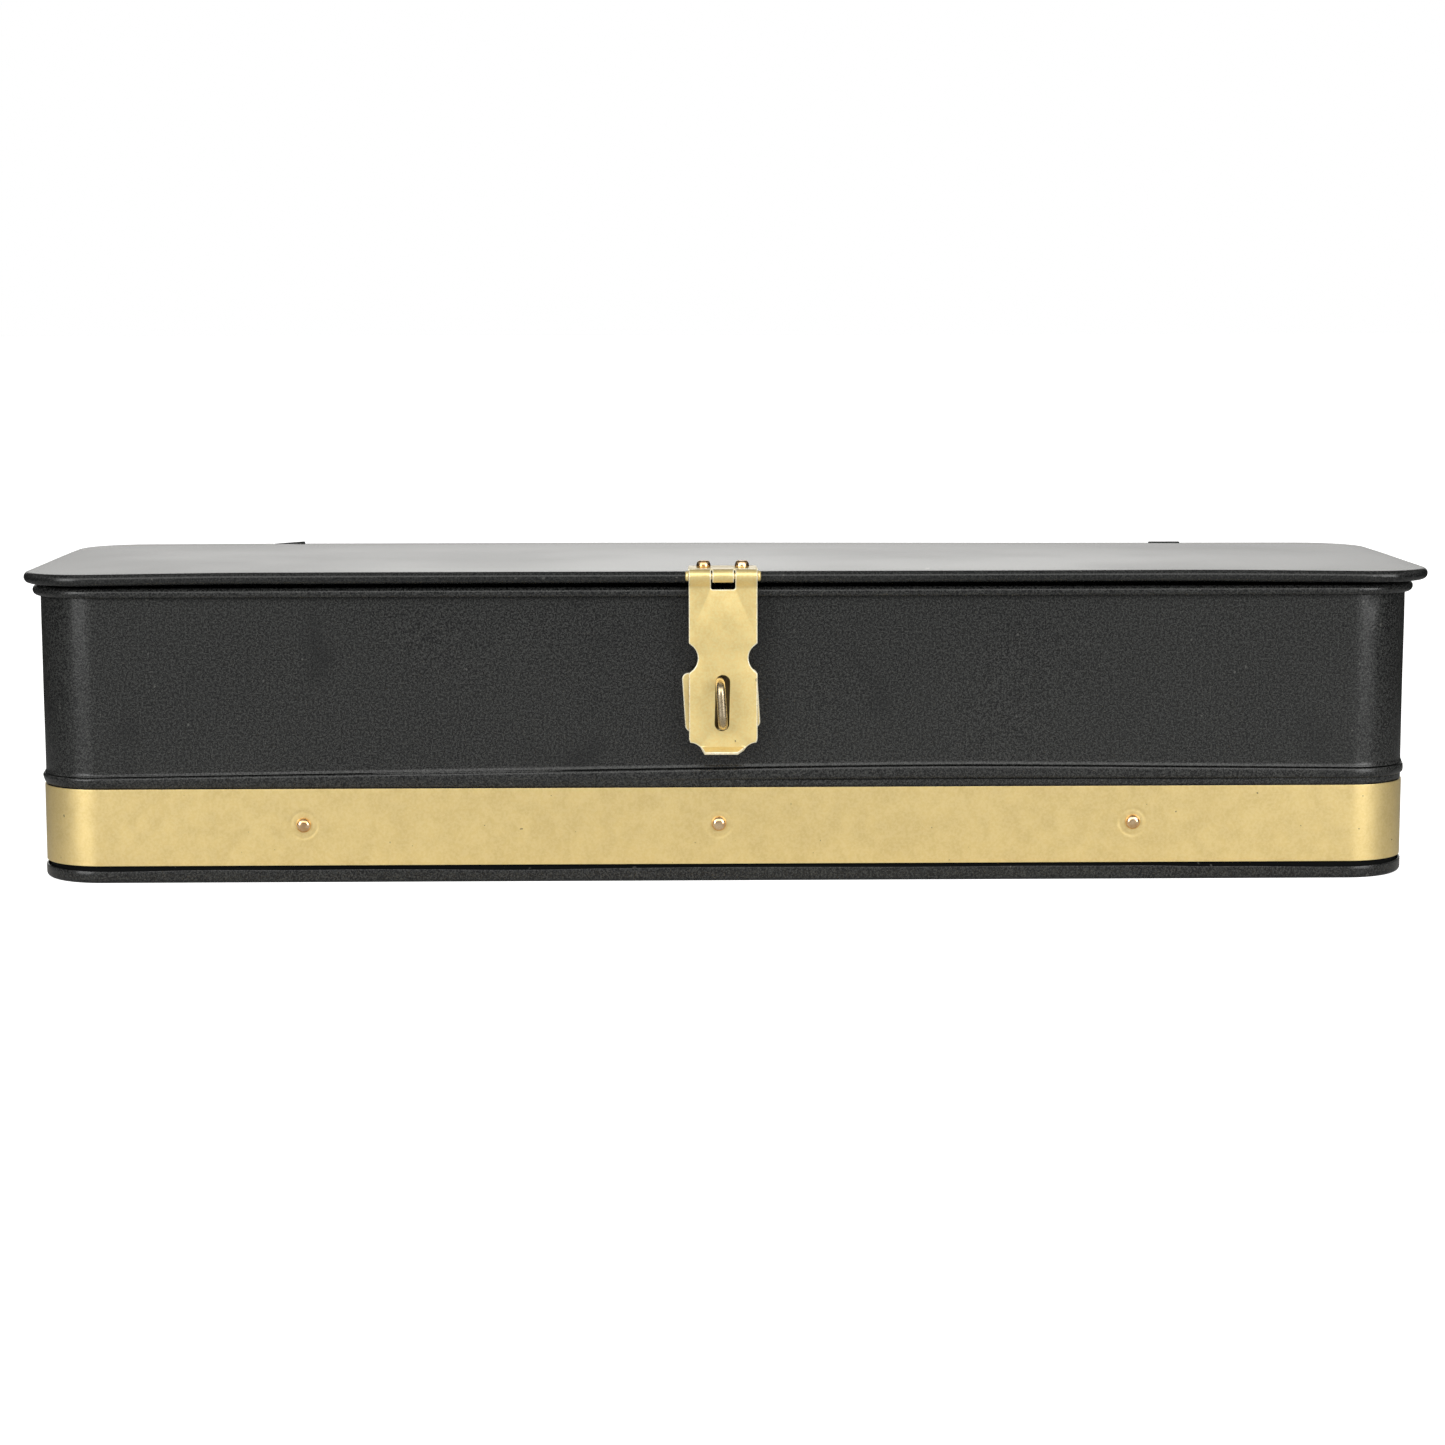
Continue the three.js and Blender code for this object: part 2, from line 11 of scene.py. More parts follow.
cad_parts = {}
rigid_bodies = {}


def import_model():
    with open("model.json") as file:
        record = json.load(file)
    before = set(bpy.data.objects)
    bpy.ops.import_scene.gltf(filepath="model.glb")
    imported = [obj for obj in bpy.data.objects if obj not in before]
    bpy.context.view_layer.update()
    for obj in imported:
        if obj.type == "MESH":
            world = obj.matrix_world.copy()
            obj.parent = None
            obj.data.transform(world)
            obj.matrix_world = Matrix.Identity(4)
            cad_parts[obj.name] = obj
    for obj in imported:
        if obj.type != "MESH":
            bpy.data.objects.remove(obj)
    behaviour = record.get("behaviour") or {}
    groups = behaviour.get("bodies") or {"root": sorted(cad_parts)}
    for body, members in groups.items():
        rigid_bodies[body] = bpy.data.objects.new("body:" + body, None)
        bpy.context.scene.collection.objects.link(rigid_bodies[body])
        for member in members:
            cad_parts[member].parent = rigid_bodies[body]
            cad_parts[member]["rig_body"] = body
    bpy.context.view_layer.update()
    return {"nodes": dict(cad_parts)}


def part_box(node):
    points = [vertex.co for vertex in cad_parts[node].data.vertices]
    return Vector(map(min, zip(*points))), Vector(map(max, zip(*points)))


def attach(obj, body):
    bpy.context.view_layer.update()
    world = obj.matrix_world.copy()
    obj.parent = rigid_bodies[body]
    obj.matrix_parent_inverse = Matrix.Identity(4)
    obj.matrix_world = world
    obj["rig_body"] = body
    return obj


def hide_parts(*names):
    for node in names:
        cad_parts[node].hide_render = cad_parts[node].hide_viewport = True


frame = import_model()

# ---- Driving dimensions, in metres ---------------------------------------------------------

MM = 0.001
SHEET = 0.7 * MM

LID_LOW, LID_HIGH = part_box("lid_panel")
BAND_LOW, BAND_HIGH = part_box("trim_band")
PAN_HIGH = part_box("base_pan")[1]
WALL_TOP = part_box("body_wall")[1].z
STRAP_LOW, STRAP_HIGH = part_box("hasp_strap")
HASP_PIN = sum(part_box("hasp_pin"), Vector()) / 2

LID_ROLL = 1.6 * MM
LID_CORNER = 20 * MM
LID_SHIFT = (LID_LOW.x + LID_HIGH.x) / 2
LID_HALF = Vector((LID_HIGH.x - LID_SHIFT, LID_HIGH.y))
HINGE = Vector((0.0, LID_HALF.y - LID_ROLL, LID_HIGH.z - LID_ROLL))
RIM_ROLL = 1.45 * MM
BAND_PROUD = 0.35 * MM
PAN_PROUD = 0.55 * MM
BODY_HALF = Vector((PAN_HIGH.x - PAN_PROUD, PAN_HIGH.y - PAN_PROUD))
BODY_CORNER = 18 * MM

# Edges that turn by more degrees than this stay sharp.
SHARP_DEGREES = 32


# ---- Mesh helpers --------------------------------------------------------------------------

def arc(x, y, radius, start, end, steps):
    """Points along an arc, from start to end in degrees."""
    angles = np.radians(np.linspace(start, end, steps + 1))
    return [(x + radius * math.cos(a), y + radius * math.sin(a)) for a in angles]


def centre_of(node):
    """The middle of a CAD node's box."""
    low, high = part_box(node)
    return (low + high) / 2


def make_object(name, vertices, faces, sharp_degrees=SHARP_DEGREES):
    mesh = bpy.data.meshes.new(name)
    mesh.from_pydata([tuple(v) for v in vertices], [], faces)
    mesh.validate()
    obj = bpy.data.objects.new(name, mesh)
    bpy.context.scene.collection.objects.link(obj)
    shade(obj, sharp_degrees)
    return obj


def shade(obj, sharp_degrees):
    """Smooth shading that stops at edges turning by more than the angle."""
    mesh = obj.data
    bm = bmesh.new()
    bm.from_mesh(mesh)
    bmesh.ops.recalc_face_normals(bm, faces=bm.faces)
    bm.to_mesh(mesh)
    bm.free()
    mesh.polygons.foreach_set("use_smooth", [True] * len(mesh.polygons))
    mesh.set_sharp_from_angle(angle=math.radians(sharp_degrees))


def steps_between(start, end, longest, fine_at=(), fine_reach=0.007, fine_step=0.0006):
    """Values from start to end, no further apart than longest, and closer near each place in fine_at."""
    values = list(np.linspace(start, end, max(2, math.ceil(abs(end - start) / longest) + 1)))
    for place in fine_at:
        count = round(2 * fine_reach / fine_step)
        values += list(np.linspace(place - fine_reach, place + fine_reach, count + 1))
    low, high = min(start, end), max(start, end)
    values = sorted(v for v in values if low <= v <= high)
    kept = [values[0]]
    for value in values[1:]:
        if value - kept[-1] > fine_step * 0.5:
            kept.append(value)
    kept[-1] = high
    return kept if start < end else kept[::-1]


def stations(half, radius, corner_steps=22, longest=0.006, fine_x=(), fine_y=(), fine_step=0.0012,
             fine_reach=0.0065):
    """Foot points and outward normals, anticlockwise round a rounded rectangle."""
    cx, cy = half.x - radius, half.y - radius
    places = []

    def corner(sx, sy, start):
        for angle in np.radians(np.linspace(start, start + 90, corner_steps + 1)):
            normal = (math.cos(angle), math.sin(angle))
            places.append((sx * cx + radius * normal[0], sy * cy + radius * normal[1], *normal))

    def along(start, end, fine_at):
        return steps_between(start, end, longest, fine_at, fine_reach, fine_step)[1:-1]

    corner(1, 1, 0)
    places.extend((x, half.y, 0, 1) for x in along(cx, -cx, fine_x))
    corner(-1, 1, 90)
    places.extend((-half.x, y, -1, 0) for y in along(cy, -cy, fine_y))
    corner(-1, -1, 180)
    places.extend((x, -half.y, 0, -1) for x in along(-cx, cx, fine_x))
    corner(1, -1, 270)
    places.extend((half.x, y, 1, 0) for y in along(-cy, cy, fine_y))
    return np.array(places)


def sweep(name, places, section, warp, closed=True):
    """Carries a section of (offset, z) points round the stations. warp moves each (x, y, offset, z)."""
    count = len(places)
    vertices = []
    for offset, z in section:
        for x, y, nx, ny in places:
            out, height = warp(x, y, offset, z)
            vertices.append((x + nx * out, y + ny * out, height))
    faces = []
    rings = len(section)
    for ring in range(rings if closed else rings - 1):
        low, high = ring * count, (ring + 1) % rings * count
        for i in range(count):
            j = (i + 1) % count
            faces.append((low + i, low + j, high + j, high + i))
    if not closed:
        last = (rings - 1) * count
        faces.append(tuple(range(count))[::-1])
        faces.append(tuple(last + i for i in range(count)))
    return make_object(name, vertices, faces)


def lathe(name, profile, position, normal, sides=40):
    """Turns a profile of (radius, height) points round the line through position along normal."""
    vertices, faces = [], []
    for radius, height in profile[1:-1]:
        for i in range(sides):
            angle = 2 * math.pi * i / sides
            vertices.append((radius * math.cos(angle), radius * math.sin(angle), height))
    rings = len(profile) - 2
    for ring in range(rings - 1):
        for i in range(sides):
            j = (i + 1) % sides
            low, high = ring * sides, (ring + 1) * sides
            faces.append((low + i, low + j, high + j, high + i))
    vertices += [(0, 0, profile[0][1]), (0, 0, profile[-1][1])]
    first, last, top = len(vertices) - 2, len(vertices) - 1, (rings - 1) * sides
    faces += [(first, (i + 1) % sides, i) for i in range(sides)]
    faces += [(last, top + i, top + (i + 1) % sides) for i in range(sides)]
    turn = Vector((0, 0, 1)).rotation_difference(Vector(normal)).to_matrix().to_4x4()
    place = Matrix.Translation(position) @ turn
    return make_object(name, [place @ Vector(v) for v in vertices], faces, sharp_degrees=40)


def tube(name, path, radius, across, sides=20):
    """A round wire along a flat path. across is the normal of the path's plane."""
    path = [Vector(p) for p in path]
    across = Vector(across)
    vertices, faces = [], []
    for i, point in enumerate(path):
        along = (path[min(i + 1, len(path) - 1)] - path[max(i - 1, 0)]).normalized()
        side = across.cross(along).normalized()
        for k in range(sides):
            angle = 2 * math.pi * k / sides
            vertices.append(point + radius * (math.cos(angle) * across + math.sin(angle) * side))
    for i in range(len(path) - 1):
        for k in range(sides):
            j = (k + 1) % sides
            faces.append((i * sides + k, i * sides + j, (i + 1) * sides + j, (i + 1) * sides + k))
    last = (len(path) - 1) * sides
    faces.append(tuple(range(sides))[::-1])
    faces.append(tuple(last + k for k in range(sides)))
    return make_object(name, vertices, faces, sharp_degrees=60)


class Line:
    """A path in the (y, z) plane that can be read at any distance along it."""

    def __init__(self, points):
        self.points = np.array(points)
        lengths = np.hypot(*np.diff(self.points, axis=0).T)
        self.at = np.concatenate([[0], np.cumsum(lengths)])
        self.length = self.at[-1]

    def point(self, distance):
        return np.array([np.interp(distance, self.at, self.points[:, k]) for k in (0, 1)])

    def normal(self, distance, reach=0.0001):
        """The unit vector square to the path, to the left of its way."""
        ahead = self.point(min(distance + reach, self.length))
        along = ahead - self.point(max(distance - reach, 0))
        along = along / np.hypot(*along)
        return np.array([-along[1], along[0]])


def miters(loop):
    """At each point of an anticlockwise loop, how the point moves when the loop grows outwards by 1."""
    points = np.array(loop)
    along = np.roll(points, -1, axis=0) - points
    along /= np.linalg.norm(along, axis=1)[:, None]
    after = np.stack([along[:, 1], -along[:, 0]], axis=1)
    before = np.roll(after, 1, axis=0)
    return (before + after) / (1 + (before * after).sum(axis=1))[:, None]


def rim_loop(bm, holes):
    """The flat mesh's outer boundary as a list of vertex numbers in order, and its hole edges."""
    rim = [[v.index for v in e.verts] for e in bm.edges if len(e.link_faces) == 1]
    in_hole = [any(surrounds(hole, tuple(bm.verts[a].co.xy)) for hole in holes) for a, _ in rim]
    links = {}
    for (a, b), hidden in zip(rim, in_hole):
        if not hidden:
            links.setdefault(a, []).append(b)
            links.setdefault(b, []).append(a)
    start = min(links)
    loop = [start, links[start][0]]
    while True:
        onward = [v for v in links[loop[-1]] if v != loop[-2]][0]
        if onward == start:
            return loop, [edge for edge, hidden in zip(rim, in_hole) if hidden]
        loop.append(onward)


def surrounds(loop, point, slack=1e-6):
    """Whether a point lies in the box round a loop."""
    low, high = np.min(loop, axis=0) - slack, np.max(loop, axis=0) + slack
    return bool((low <= point).all() and (point <= high).all())


def area_of(points):
    """The area inside a loop, below 0 where it runs clockwise."""
    x, y = np.array(points).T
    return 0.5 * float(x @ np.roll(y, -1) - y @ np.roll(x, -1))


def cut_across(bm, place, normal):
    """Adds edges to a mesh where a plane crosses it."""
    geometry = bm.verts[:] + bm.edges[:] + bm.faces[:]
    bmesh.ops.bisect_plane(bm, geom=geometry, plane_co=place, plane_no=normal, dist=1e-7)


def flat_mesh(outline, holes, line, longest):
    """A flat sheet's points, triangles, outer loop and hole edges, cut across wherever the line bends."""
    bm = bmesh.new()
    for loop in (outline, *holes):
        corners = [bm.verts.new((x, distance, 0)) for x, distance in loop]
        for i, corner in enumerate(corners):
            bm.edges.new((corner, corners[(i + 1) % len(corners)]))
    bmesh.ops.triangle_fill(bm, edges=bm.edges[:], use_beauty=True, use_dissolve=False)
    for distance in np.arange(longest, line.length, longest):
        if turning(line, distance):
            cut_across(bm, (0, distance, 0), (0, 1, 0))
    bm.verts.index_update()
    bm.verts.ensure_lookup_table()
    points = np.array([v.co.xy for v in bm.verts])
    triangles = [[v.index for v in f.verts] for f in bm.faces]
    loop, hole_edges = rim_loop(bm, holes)
    bm.free()
    return points, triangles, loop, hole_edges


def both_sides(faces, other):
    """The faces of a sheet's one side, and of its other side, whose points are numbered from other."""
    return faces + [[i + other for i in face] for face in faces]


def bent_sheet(name, outline, line, thickness, holes=(), edge=0.00028, longest=0.0006, steps=3):
    """A sheet cut to a flat outline of (x, distance) points, then bent along a line in the (y, z) plane.

    Its outer edges are rounded by the width edge. They take its second material, and the walls of its
    holes take its third.
    """
    if area_of(outline) < 0:
        outline = outline[::-1]
    inner = np.array(outline) - miters(outline) * edge
    flat, triangles, loop, hole_edges = flat_mesh(inner, holes, line, longest)
    if area_of(flat[loop]) < 0:
        loop = loop[::-1]
    growth = miters(flat[loop]) * edge
    rings = [(flat, thickness / 2)]
    for k in range(1, steps + 1):
        angle = math.radians(90 * k / steps)
        half = thickness / 2 - edge * (1 - math.cos(angle))
        rings.append((flat[loop] + growth * math.sin(angle), half))
    vertices = [bend_point(line, x, distance, side * half) for side in (1, -1)
                for points, half in rings for x, distance in points]
    count, size = len(flat), len(loop)
    other = len(vertices) // 2
    rows = [loop] + [[count + size * k + i for i in range(size)] for k in range(steps)]
    rounded = [strip for near, far in zip(rows, rows[1:]) for strip in strips(near, far)]
    faces = both_sides(triangles, other)
    edges = both_sides(rounded, other) + strips(rows[-1], [i + other for i in rows[-1]])
    walls = [[a, b, b + other, a + other] for a, b in hole_edges]
    obj = make_object(name, vertices, faces + edges + walls)
    kinds = [0] * len(faces) + [1] * len(edges) + [2] * len(walls)
    obj.data.polygons.foreach_set("material_index", kinds)
    return obj


def bend_point(line, x, distance, out):
    """A flat sheet's point on the bent line, moved out from it along its normal."""
    y, z = line.point(distance) + line.normal(distance) * out
    return x, y, z


def strips(near, far):
    """Four-sided faces between two closed rings of vertices."""
    count = len(near)
    return [[near[i], near[(i + 1) % count], far[(i + 1) % count], far[i]] for i in range(count)]


def turning(line, distance, reach=0.0004):
    """Whether a line bends within reach of a place on it."""
    before, after = line.normal(max(distance - reach, 0)), line.normal(min(distance + reach, line.length))
    return float(before @ after) < 0.99999


def apply_modifiers(obj):
    evaluated = obj.evaluated_get(bpy.context.evaluated_depsgraph_get())
    mesh = bpy.data.meshes.new_from_object(evaluated)
    obj.modifiers.clear()
    obj.data = mesh


def cut_boxes(obj, boxes):
    """Cuts away the boxes, each given by its centre and size."""
    tools = []
    for centre, size in boxes:
        bpy.ops.mesh.primitive_cube_add(size=1, location=centre)
        tool = bpy.context.object
        tool.scale = size
        cutter = obj.modifiers.new("cut", "BOOLEAN")
        cutter.operation = "DIFFERENCE"
        cutter.solver = "EXACT"
        cutter.object = tool
        tools.append(tool)
    bpy.context.view_layer.update()
    apply_modifiers(obj)
    for tool in tools:
        bpy.data.objects.remove(tool)
    shade(obj, SHARP_DEGREES)


def smooth(value, low, high):
    """Eases from 0 at low to 1 at high."""
    share = min(1.0, max(0.0, (value - low) / (high - low)))
    return share * share * (3 - 2 * share)


def ripple(x, y, z, scale, seed):
    """Smooth noise from -1 to 1 that varies over about scale metres."""
    return noise.noise(Vector((x / scale + seed, y / scale - seed, z / scale + 2 * seed)))


# ---- Materials -----------------------------------------------------------------------------

class Nodes:
    """Short ways to add and join the nodes of one material."""

    def __init__(self, name):
        self.material = bpy.data.materials.new(name)
        self.material.use_nodes = True
        self.tree = self.material.node_tree
        self.shader = self.tree.nodes["Principled BSDF"]
        self.place = self.add("ShaderNodeTexCoord").outputs["Object"]

    def add(self, kind, **settings):
        node = self.tree.nodes.new(kind)
        for key, value in settings.items():
            setattr(node, key, value)
        return node

    def join(self, source, target):
        self.tree.links.new(source, target)

    def noise(self, scale, detail=2.0, roughness=0.5, stretch=None):
        node = self.add("ShaderNodeTexNoise")
        node.inputs["Scale"].default_value = scale
        node.inputs["Detail"].default_value = detail
        node.inputs["Roughness"].default_value = roughness
        place = self.place
        if stretch:
            mapping = self.add("ShaderNodeMapping")
            mapping.inputs["Scale"].default_value = stretch
            mapping.inputs["Rotation"].default_value = (0.3, 0.2, 0.5)
            self.join(place, mapping.inputs["Vector"])
            place = mapping.outputs["Vector"]
        self.join(place, node.inputs["Vector"])
        return node.outputs["Fac"]

    def ramp(self, value, low, high, low_out=0.0, high_out=1.0):
        node = self.add("ShaderNodeMapRange", interpolation_type="SMOOTHSTEP")
        self.join(value, node.inputs["Value"])
        node.inputs["From Min"].default_value = low
        node.inputs["From Max"].default_value = high
        node.inputs["To Min"].default_value = low_out
        node.inputs["To Max"].default_value = high_out
        return node.outputs["Result"]

    def math(self, operation, a, b):
        node = self.add("ShaderNodeMath", operation=operation)
        for socket, value in zip(node.inputs, (a, b)):
            if isinstance(value, (int, float)):
                socket.default_value = value
            else:
                self.join(value, socket)
        return node.outputs["Value"]

    def distance(self, point):
        """How far each place is from a point of the scene, in metres."""
        node = self.add("ShaderNodeVectorMath", operation="DISTANCE")
        self.join(self.place, node.inputs[0])
        node.inputs[1].default_value = point
        return node.outputs["Value"]

    def mix(self, factor, first, second):
        node = self.add("ShaderNodeMix", data_type="RGBA")
        self.join(factor, node.inputs["Factor"])
        for key, value in (("A", first), ("B", second)):
            socket = next(s for s in node.inputs if s.name == key and s.type == "RGBA")
            if isinstance(value, tuple):
                socket.default_value = (*value, 1.0)
            else:
                self.join(value, socket)
        return next(s for s in node.outputs if s.type == "RGBA")

    def bump(self, layers):
        """Joins height layers of (value, strength, distance in metres) into the shader's normal."""
        normal = None
        for value, strength, distance in layers:
            node = self.add("ShaderNodeBump")
            node.inputs["Strength"].default_value = strength
            node.inputs["Distance"].default_value = distance
            self.join(value, node.inputs["Height"])
            if normal:
                self.join(normal, node.inputs["Normal"])
            normal = node.outputs["Normal"]
        self.join(normal, self.shader.inputs["Normal"])

    def set(self, **values):
        for name, value in values.items():
            self.shader.inputs[name.replace("_", " ")].default_value = value


def black_powder_coat(name, peel_depth, grain_depth, contrast, ior=1.42):
    """Satin black over an orange-peel skin, with fine grain, dust specks, faint rubs and a few nicks.

    A lower ior makes it duller.
    """
    n = Nodes(name)
    peel = n.noise(1500, 2.0, 0.5)
    grain = n.noise(3000, 1.0, 0.5)
    cloud = n.noise(14, 2.0, 0.5)
    smudge = n.ramp(n.noise(38, 2.0, 0.5), 0.60, 0.80)
    dust = n.ramp(n.noise(650, 0.0, 0.5), 0.84, 0.88)
    nicks = n.ramp(n.noise(150, 0.0, 0.5), 0.89, 0.895)
    patchy = n.mix(n.ramp(cloud, 0.25, 0.75), (0.004, 0.0045, 0.005), (0.008, 0.0085, 0.0085))
    mottled = n.mix(n.ramp(peel, 0.38, 0.66, 0.0, contrast), patchy, (0.045, 0.046, 0.045))
    grained = n.mix(n.ramp(grain, 0.45, 0.72, 0.0, contrast), mottled, (0.060, 0.061, 0.058))
    smudged = n.mix(n.math("MULTIPLY", smudge, 0.5), grained, (0.008, 0.0085, 0.009))
    dusty = n.mix(n.math("MULTIPLY", dust, 0.4), smudged, (0.14, 0.14, 0.13))
    n.join(n.mix(nicks, dusty, (0.5, 0.49, 0.45)), n.shader.inputs["Base Color"])
    n.join(n.ramp(cloud, 0.3, 0.7, 0.22, 0.26), n.shader.inputs["Roughness"])
    n.bump([(peel, peel_depth, 0.00006), (grain, grain_depth, 0.00002)])
    n.set(IOR=ior)
    return n.material


def gold_paint(name, shade=1.0, metallic=0.72, pit_size=1.0, painted_shade_at=None):
    """Pale metallic gold under clear lacquer, with a fine speckle, soft mottling and a few dark pits.

    Painted shade darkens the colour round a given point, the last argument, for the shadow that falls behind
    the hasp's strap.
    """
    n = Nodes(name)
    # tone scales each colour by shade; where shade is above 1 the lighter colour is painted light.
    tone = lambda *rgb: tuple(min(1.0, shade * value) for value in rgb)
    mottle = n.noise(260, 3.0, 0.6)
    speckle = n.noise(1500, 2.0, 0.6)
    pits = n.ramp(n.noise(950 / pit_size, 0.0, 0.5), 0.86, 0.875)
    stain = n.ramp(n.noise(45, 2.0, 0.5), 0.62, 0.8)
    base = n.mix(n.ramp(mottle, 0.3, 0.7), tone(0.79, 0.60, 0.245), tone(0.84, 0.645, 0.27))
    fine = n.mix(n.ramp(speckle, 0.35, 0.65, 0.0, 0.5), base, tone(0.90, 0.72, 0.35))
    stained = n.mix(n.math("MULTIPLY", stain, 0.12), fine, tone(0.5, 0.36, 0.14))
    pitted = n.mix(n.math("MULTIPLY", pits, 0.85), stained, tone(0.2, 0.14, 0.06))
    if painted_shade_at:
        # Painted shade: the colour turns dark brown within about 9 mm of the point.
        painted_shade = n.ramp(n.distance(painted_shade_at), 7.5 * MM, 9.3 * MM, 0.93, 0.0)
        pitted = n.mix(painted_shade, pitted, (0.08, 0.05, 0.018))
    n.join(pitted, n.shader.inputs["Base Color"])
    n.join(n.ramp(mottle, 0.3, 0.7, 0.38, 0.43), n.shader.inputs["Roughness"])
    n.bump([(speckle, 0.25, 0.00005), (mottle, 0.1, 0.0001)])
    n.set(Metallic=metallic, Coat_Weight=0.5, Coat_Roughness=0.18)
    return n.material


def metal(name, dark, light, roughness, scale=900, metallic=1.0):
    """Bare metal with fine handling marks and slight tarnish."""
    n = Nodes(name)
    tarnish = n.noise(scale * 0.4, 3.0, 0.6)
    marks = n.noise(scale * 3, 2.0, 0.6, stretch=(0.3, 1.0, 1.0))
    n.join(n.mix(n.ramp(tarnish, 0.35, 0.7), dark, light), n.shader.inputs["Base Color"])
    n.join(n.ramp(marks, 0.3, 0.7, roughness * 0.8, roughness * 1.3), n.shader.inputs["Roughness"])
    n.bump([(marks, 0.12, 0.00004)])
    n.set(Metallic=metallic)
    return n.material


BLACK = black_powder_coat("black_powder_coat", 0.6, 0.5, 0.7)
PAN_BLACK = black_powder_coat("black_powder_coat_pan", 0.25, 0.2, 0.55)
# A darker, duller copy of the black paint with no mottling, for the wall's strip in the gap over the pan's
# lip: painted shade.
GAP_SHADE_BLACK = black_powder_coat("black_powder_coat_painted_gap_shade", 0.6, 0.5, 0.0, 1.08)
LID_BLACK = black_powder_coat("black_powder_coat_lid", 0.08, 0.08, 0.35)
GOLD = gold_paint("gold_paint")
# The hasp's gold and the staple plate's gold are the band's gold painted 1.18 times lighter: painted light.
HASP_GOLD = gold_paint("gold_paint_hasp", 1.18, 0.75, 1.5)
# The staple plate's gold takes painted shade round its middle, behind the hasp's strap.
PLATE_GOLD = gold_paint("gold_paint_staple_plate", 1.18, 0.75, 1.5, centre_of("staple_plate"))
# The pale cream, half-metallic gold on the sheets' rounded edges is a painted highlight for the light those
# edges catch.
EDGE_HIGHLIGHT_GOLD = metal("gold_paint_painted_edge_highlight", (0.95, 0.84, 0.56), (1.0, 0.95, 0.75), 0.3, metallic=0.3)
# The near-black brown on the walls of the strap's slot is painted shade.
SLOT_SHADE_GOLD = metal("gold_paint_slot_wall_painted_shade", (0.04, 0.026, 0.01), (0.10, 0.07, 0.03), 0.5)
BRASS = metal("rivet_brass", (0.70, 0.42, 0.19), (0.97, 0.74, 0.48), 0.2)
STAPLE_BRASS = metal("staple_brass", (0.50, 0.40, 0.25), (0.60, 0.49, 0.33), 0.27, 1200)
STEEL = metal("wire_steel", (0.25, 0.25, 0.25), (0.42, 0.42, 0.42), 0.35)


def finish_piece(obj, body, node, slot, *materials):
    """Gives a piece its materials, and lets it stand for its CAD node on that node's body."""
    for material in materials:
        obj.data.materials.append(material)
    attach(obj, body)
    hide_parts(node)


# ---- Box body ------------------------------------------------------------------------------

BAND_RIVETS = [node for node in frame["nodes"] if node.startswith("band_rivet")]
RIVET_CENTRES = np.array([centre_of(node) for node in BAND_RIVETS])
RIVET_X = [x for x, y, z in RIVET_CENTRES if abs(x) < BODY_HALF.x]
RIVET_Z = RIVET_CENTRES[0][2]
BODY_PLACES = stations(BODY_HALF, BODY_CORNER, longest=0.003, fine_x=[0.18])
CREASE_PEAK_X = 0.062


def crease_height(x):
    """The crease over the band sags towards both ends of the box."""
    peak, slope, rounding = 33.1 * MM, 0.0125, 0.025
    return peak - slope * (math.hypot(x - CREASE_PEAK_X, rounding) - rounding)


def wall_wander(x, y, z):
    """Slow unevenness of the rolled sheet, in metres outward."""
    return 0.10 * MM * ripple(x, y, z, 0.055, 3.1) + 0.05 * MM * ripple(x, y, z, 0.02, 7.7)


# The bead's profile, as shares of its height and offsets in mm: rounder at the left, and squarer with a
# plain strip under it at the right.
BEAD_SHARES = [0, 0.05, 0.063, 0.075, 0.1, 0.2, 0.33, 0.37, 0.4, 0.43, 0.48, 0.6, 0.75, 0.85, 0.91,
               0.945, 0.965, 1.0, 1.02, 1.05, 1.1, 1.17, 1.25, 1.4, 1.6]
BEAD_LEFT = [0, 0, 0, 0, 0.12, 0.32, 0.52, 0.56, 0.6, 0.63, 0.68, 0.8, 0.86, 0.78, 0.62, 0.46, 0.4,
             0.38, 0.36, 0.34, 0.2, 0.06, 0.01, 0, 0]
BEAD_RIGHT = [0, 0, 0, 0, 0.05, 0.05, 0.05, 0.05, 0.3, 0.55, 0.72, 0.8, 0.78, 0.72, 0.62, 0.5, 0.42,
              0.38, 0.36, 0.34, 0.18, 0.05, 0.01, 0, 0]
BEAD_FOOT = BAND_HIGH.z + 0.05 * MM
BEAD_MARK = 1000
FOOT_LINE = (-0.05, 0.075)
CREASE = (0.935, 1.025)
UNDERCUT = (0.325, 0.395)


def groove(share, edges):
    """A slot in the profile between two shares, from 0 at its edges to 1 inside."""
    return smooth(share, edges[0], edges[0] + 0.012) * smooth(edges[1] - share, 0, 0.012)


def bead_offset(share, x):
    left, right = (np.interp(share, BEAD_SHARES, offsets) for offsets in (BEAD_LEFT, BEAD_RIGHT))
    offset = left + (right - left) * smooth(x, -0.05, 0.03)
    shut = smooth(x, -0.112, -0.092) * smooth(-x, 0.035, 0.055)
    under = smooth(x, 0.0, 0.03) * smooth(-x, -0.16, -0.13)
    slots = 1.4 * (1 - shut) * groove(share, CREASE) + 0.8 * under * groove(share, UNDERCUT)
    return MM * (offset - slots - 0.6 * groove(share, FOOT_LINE))


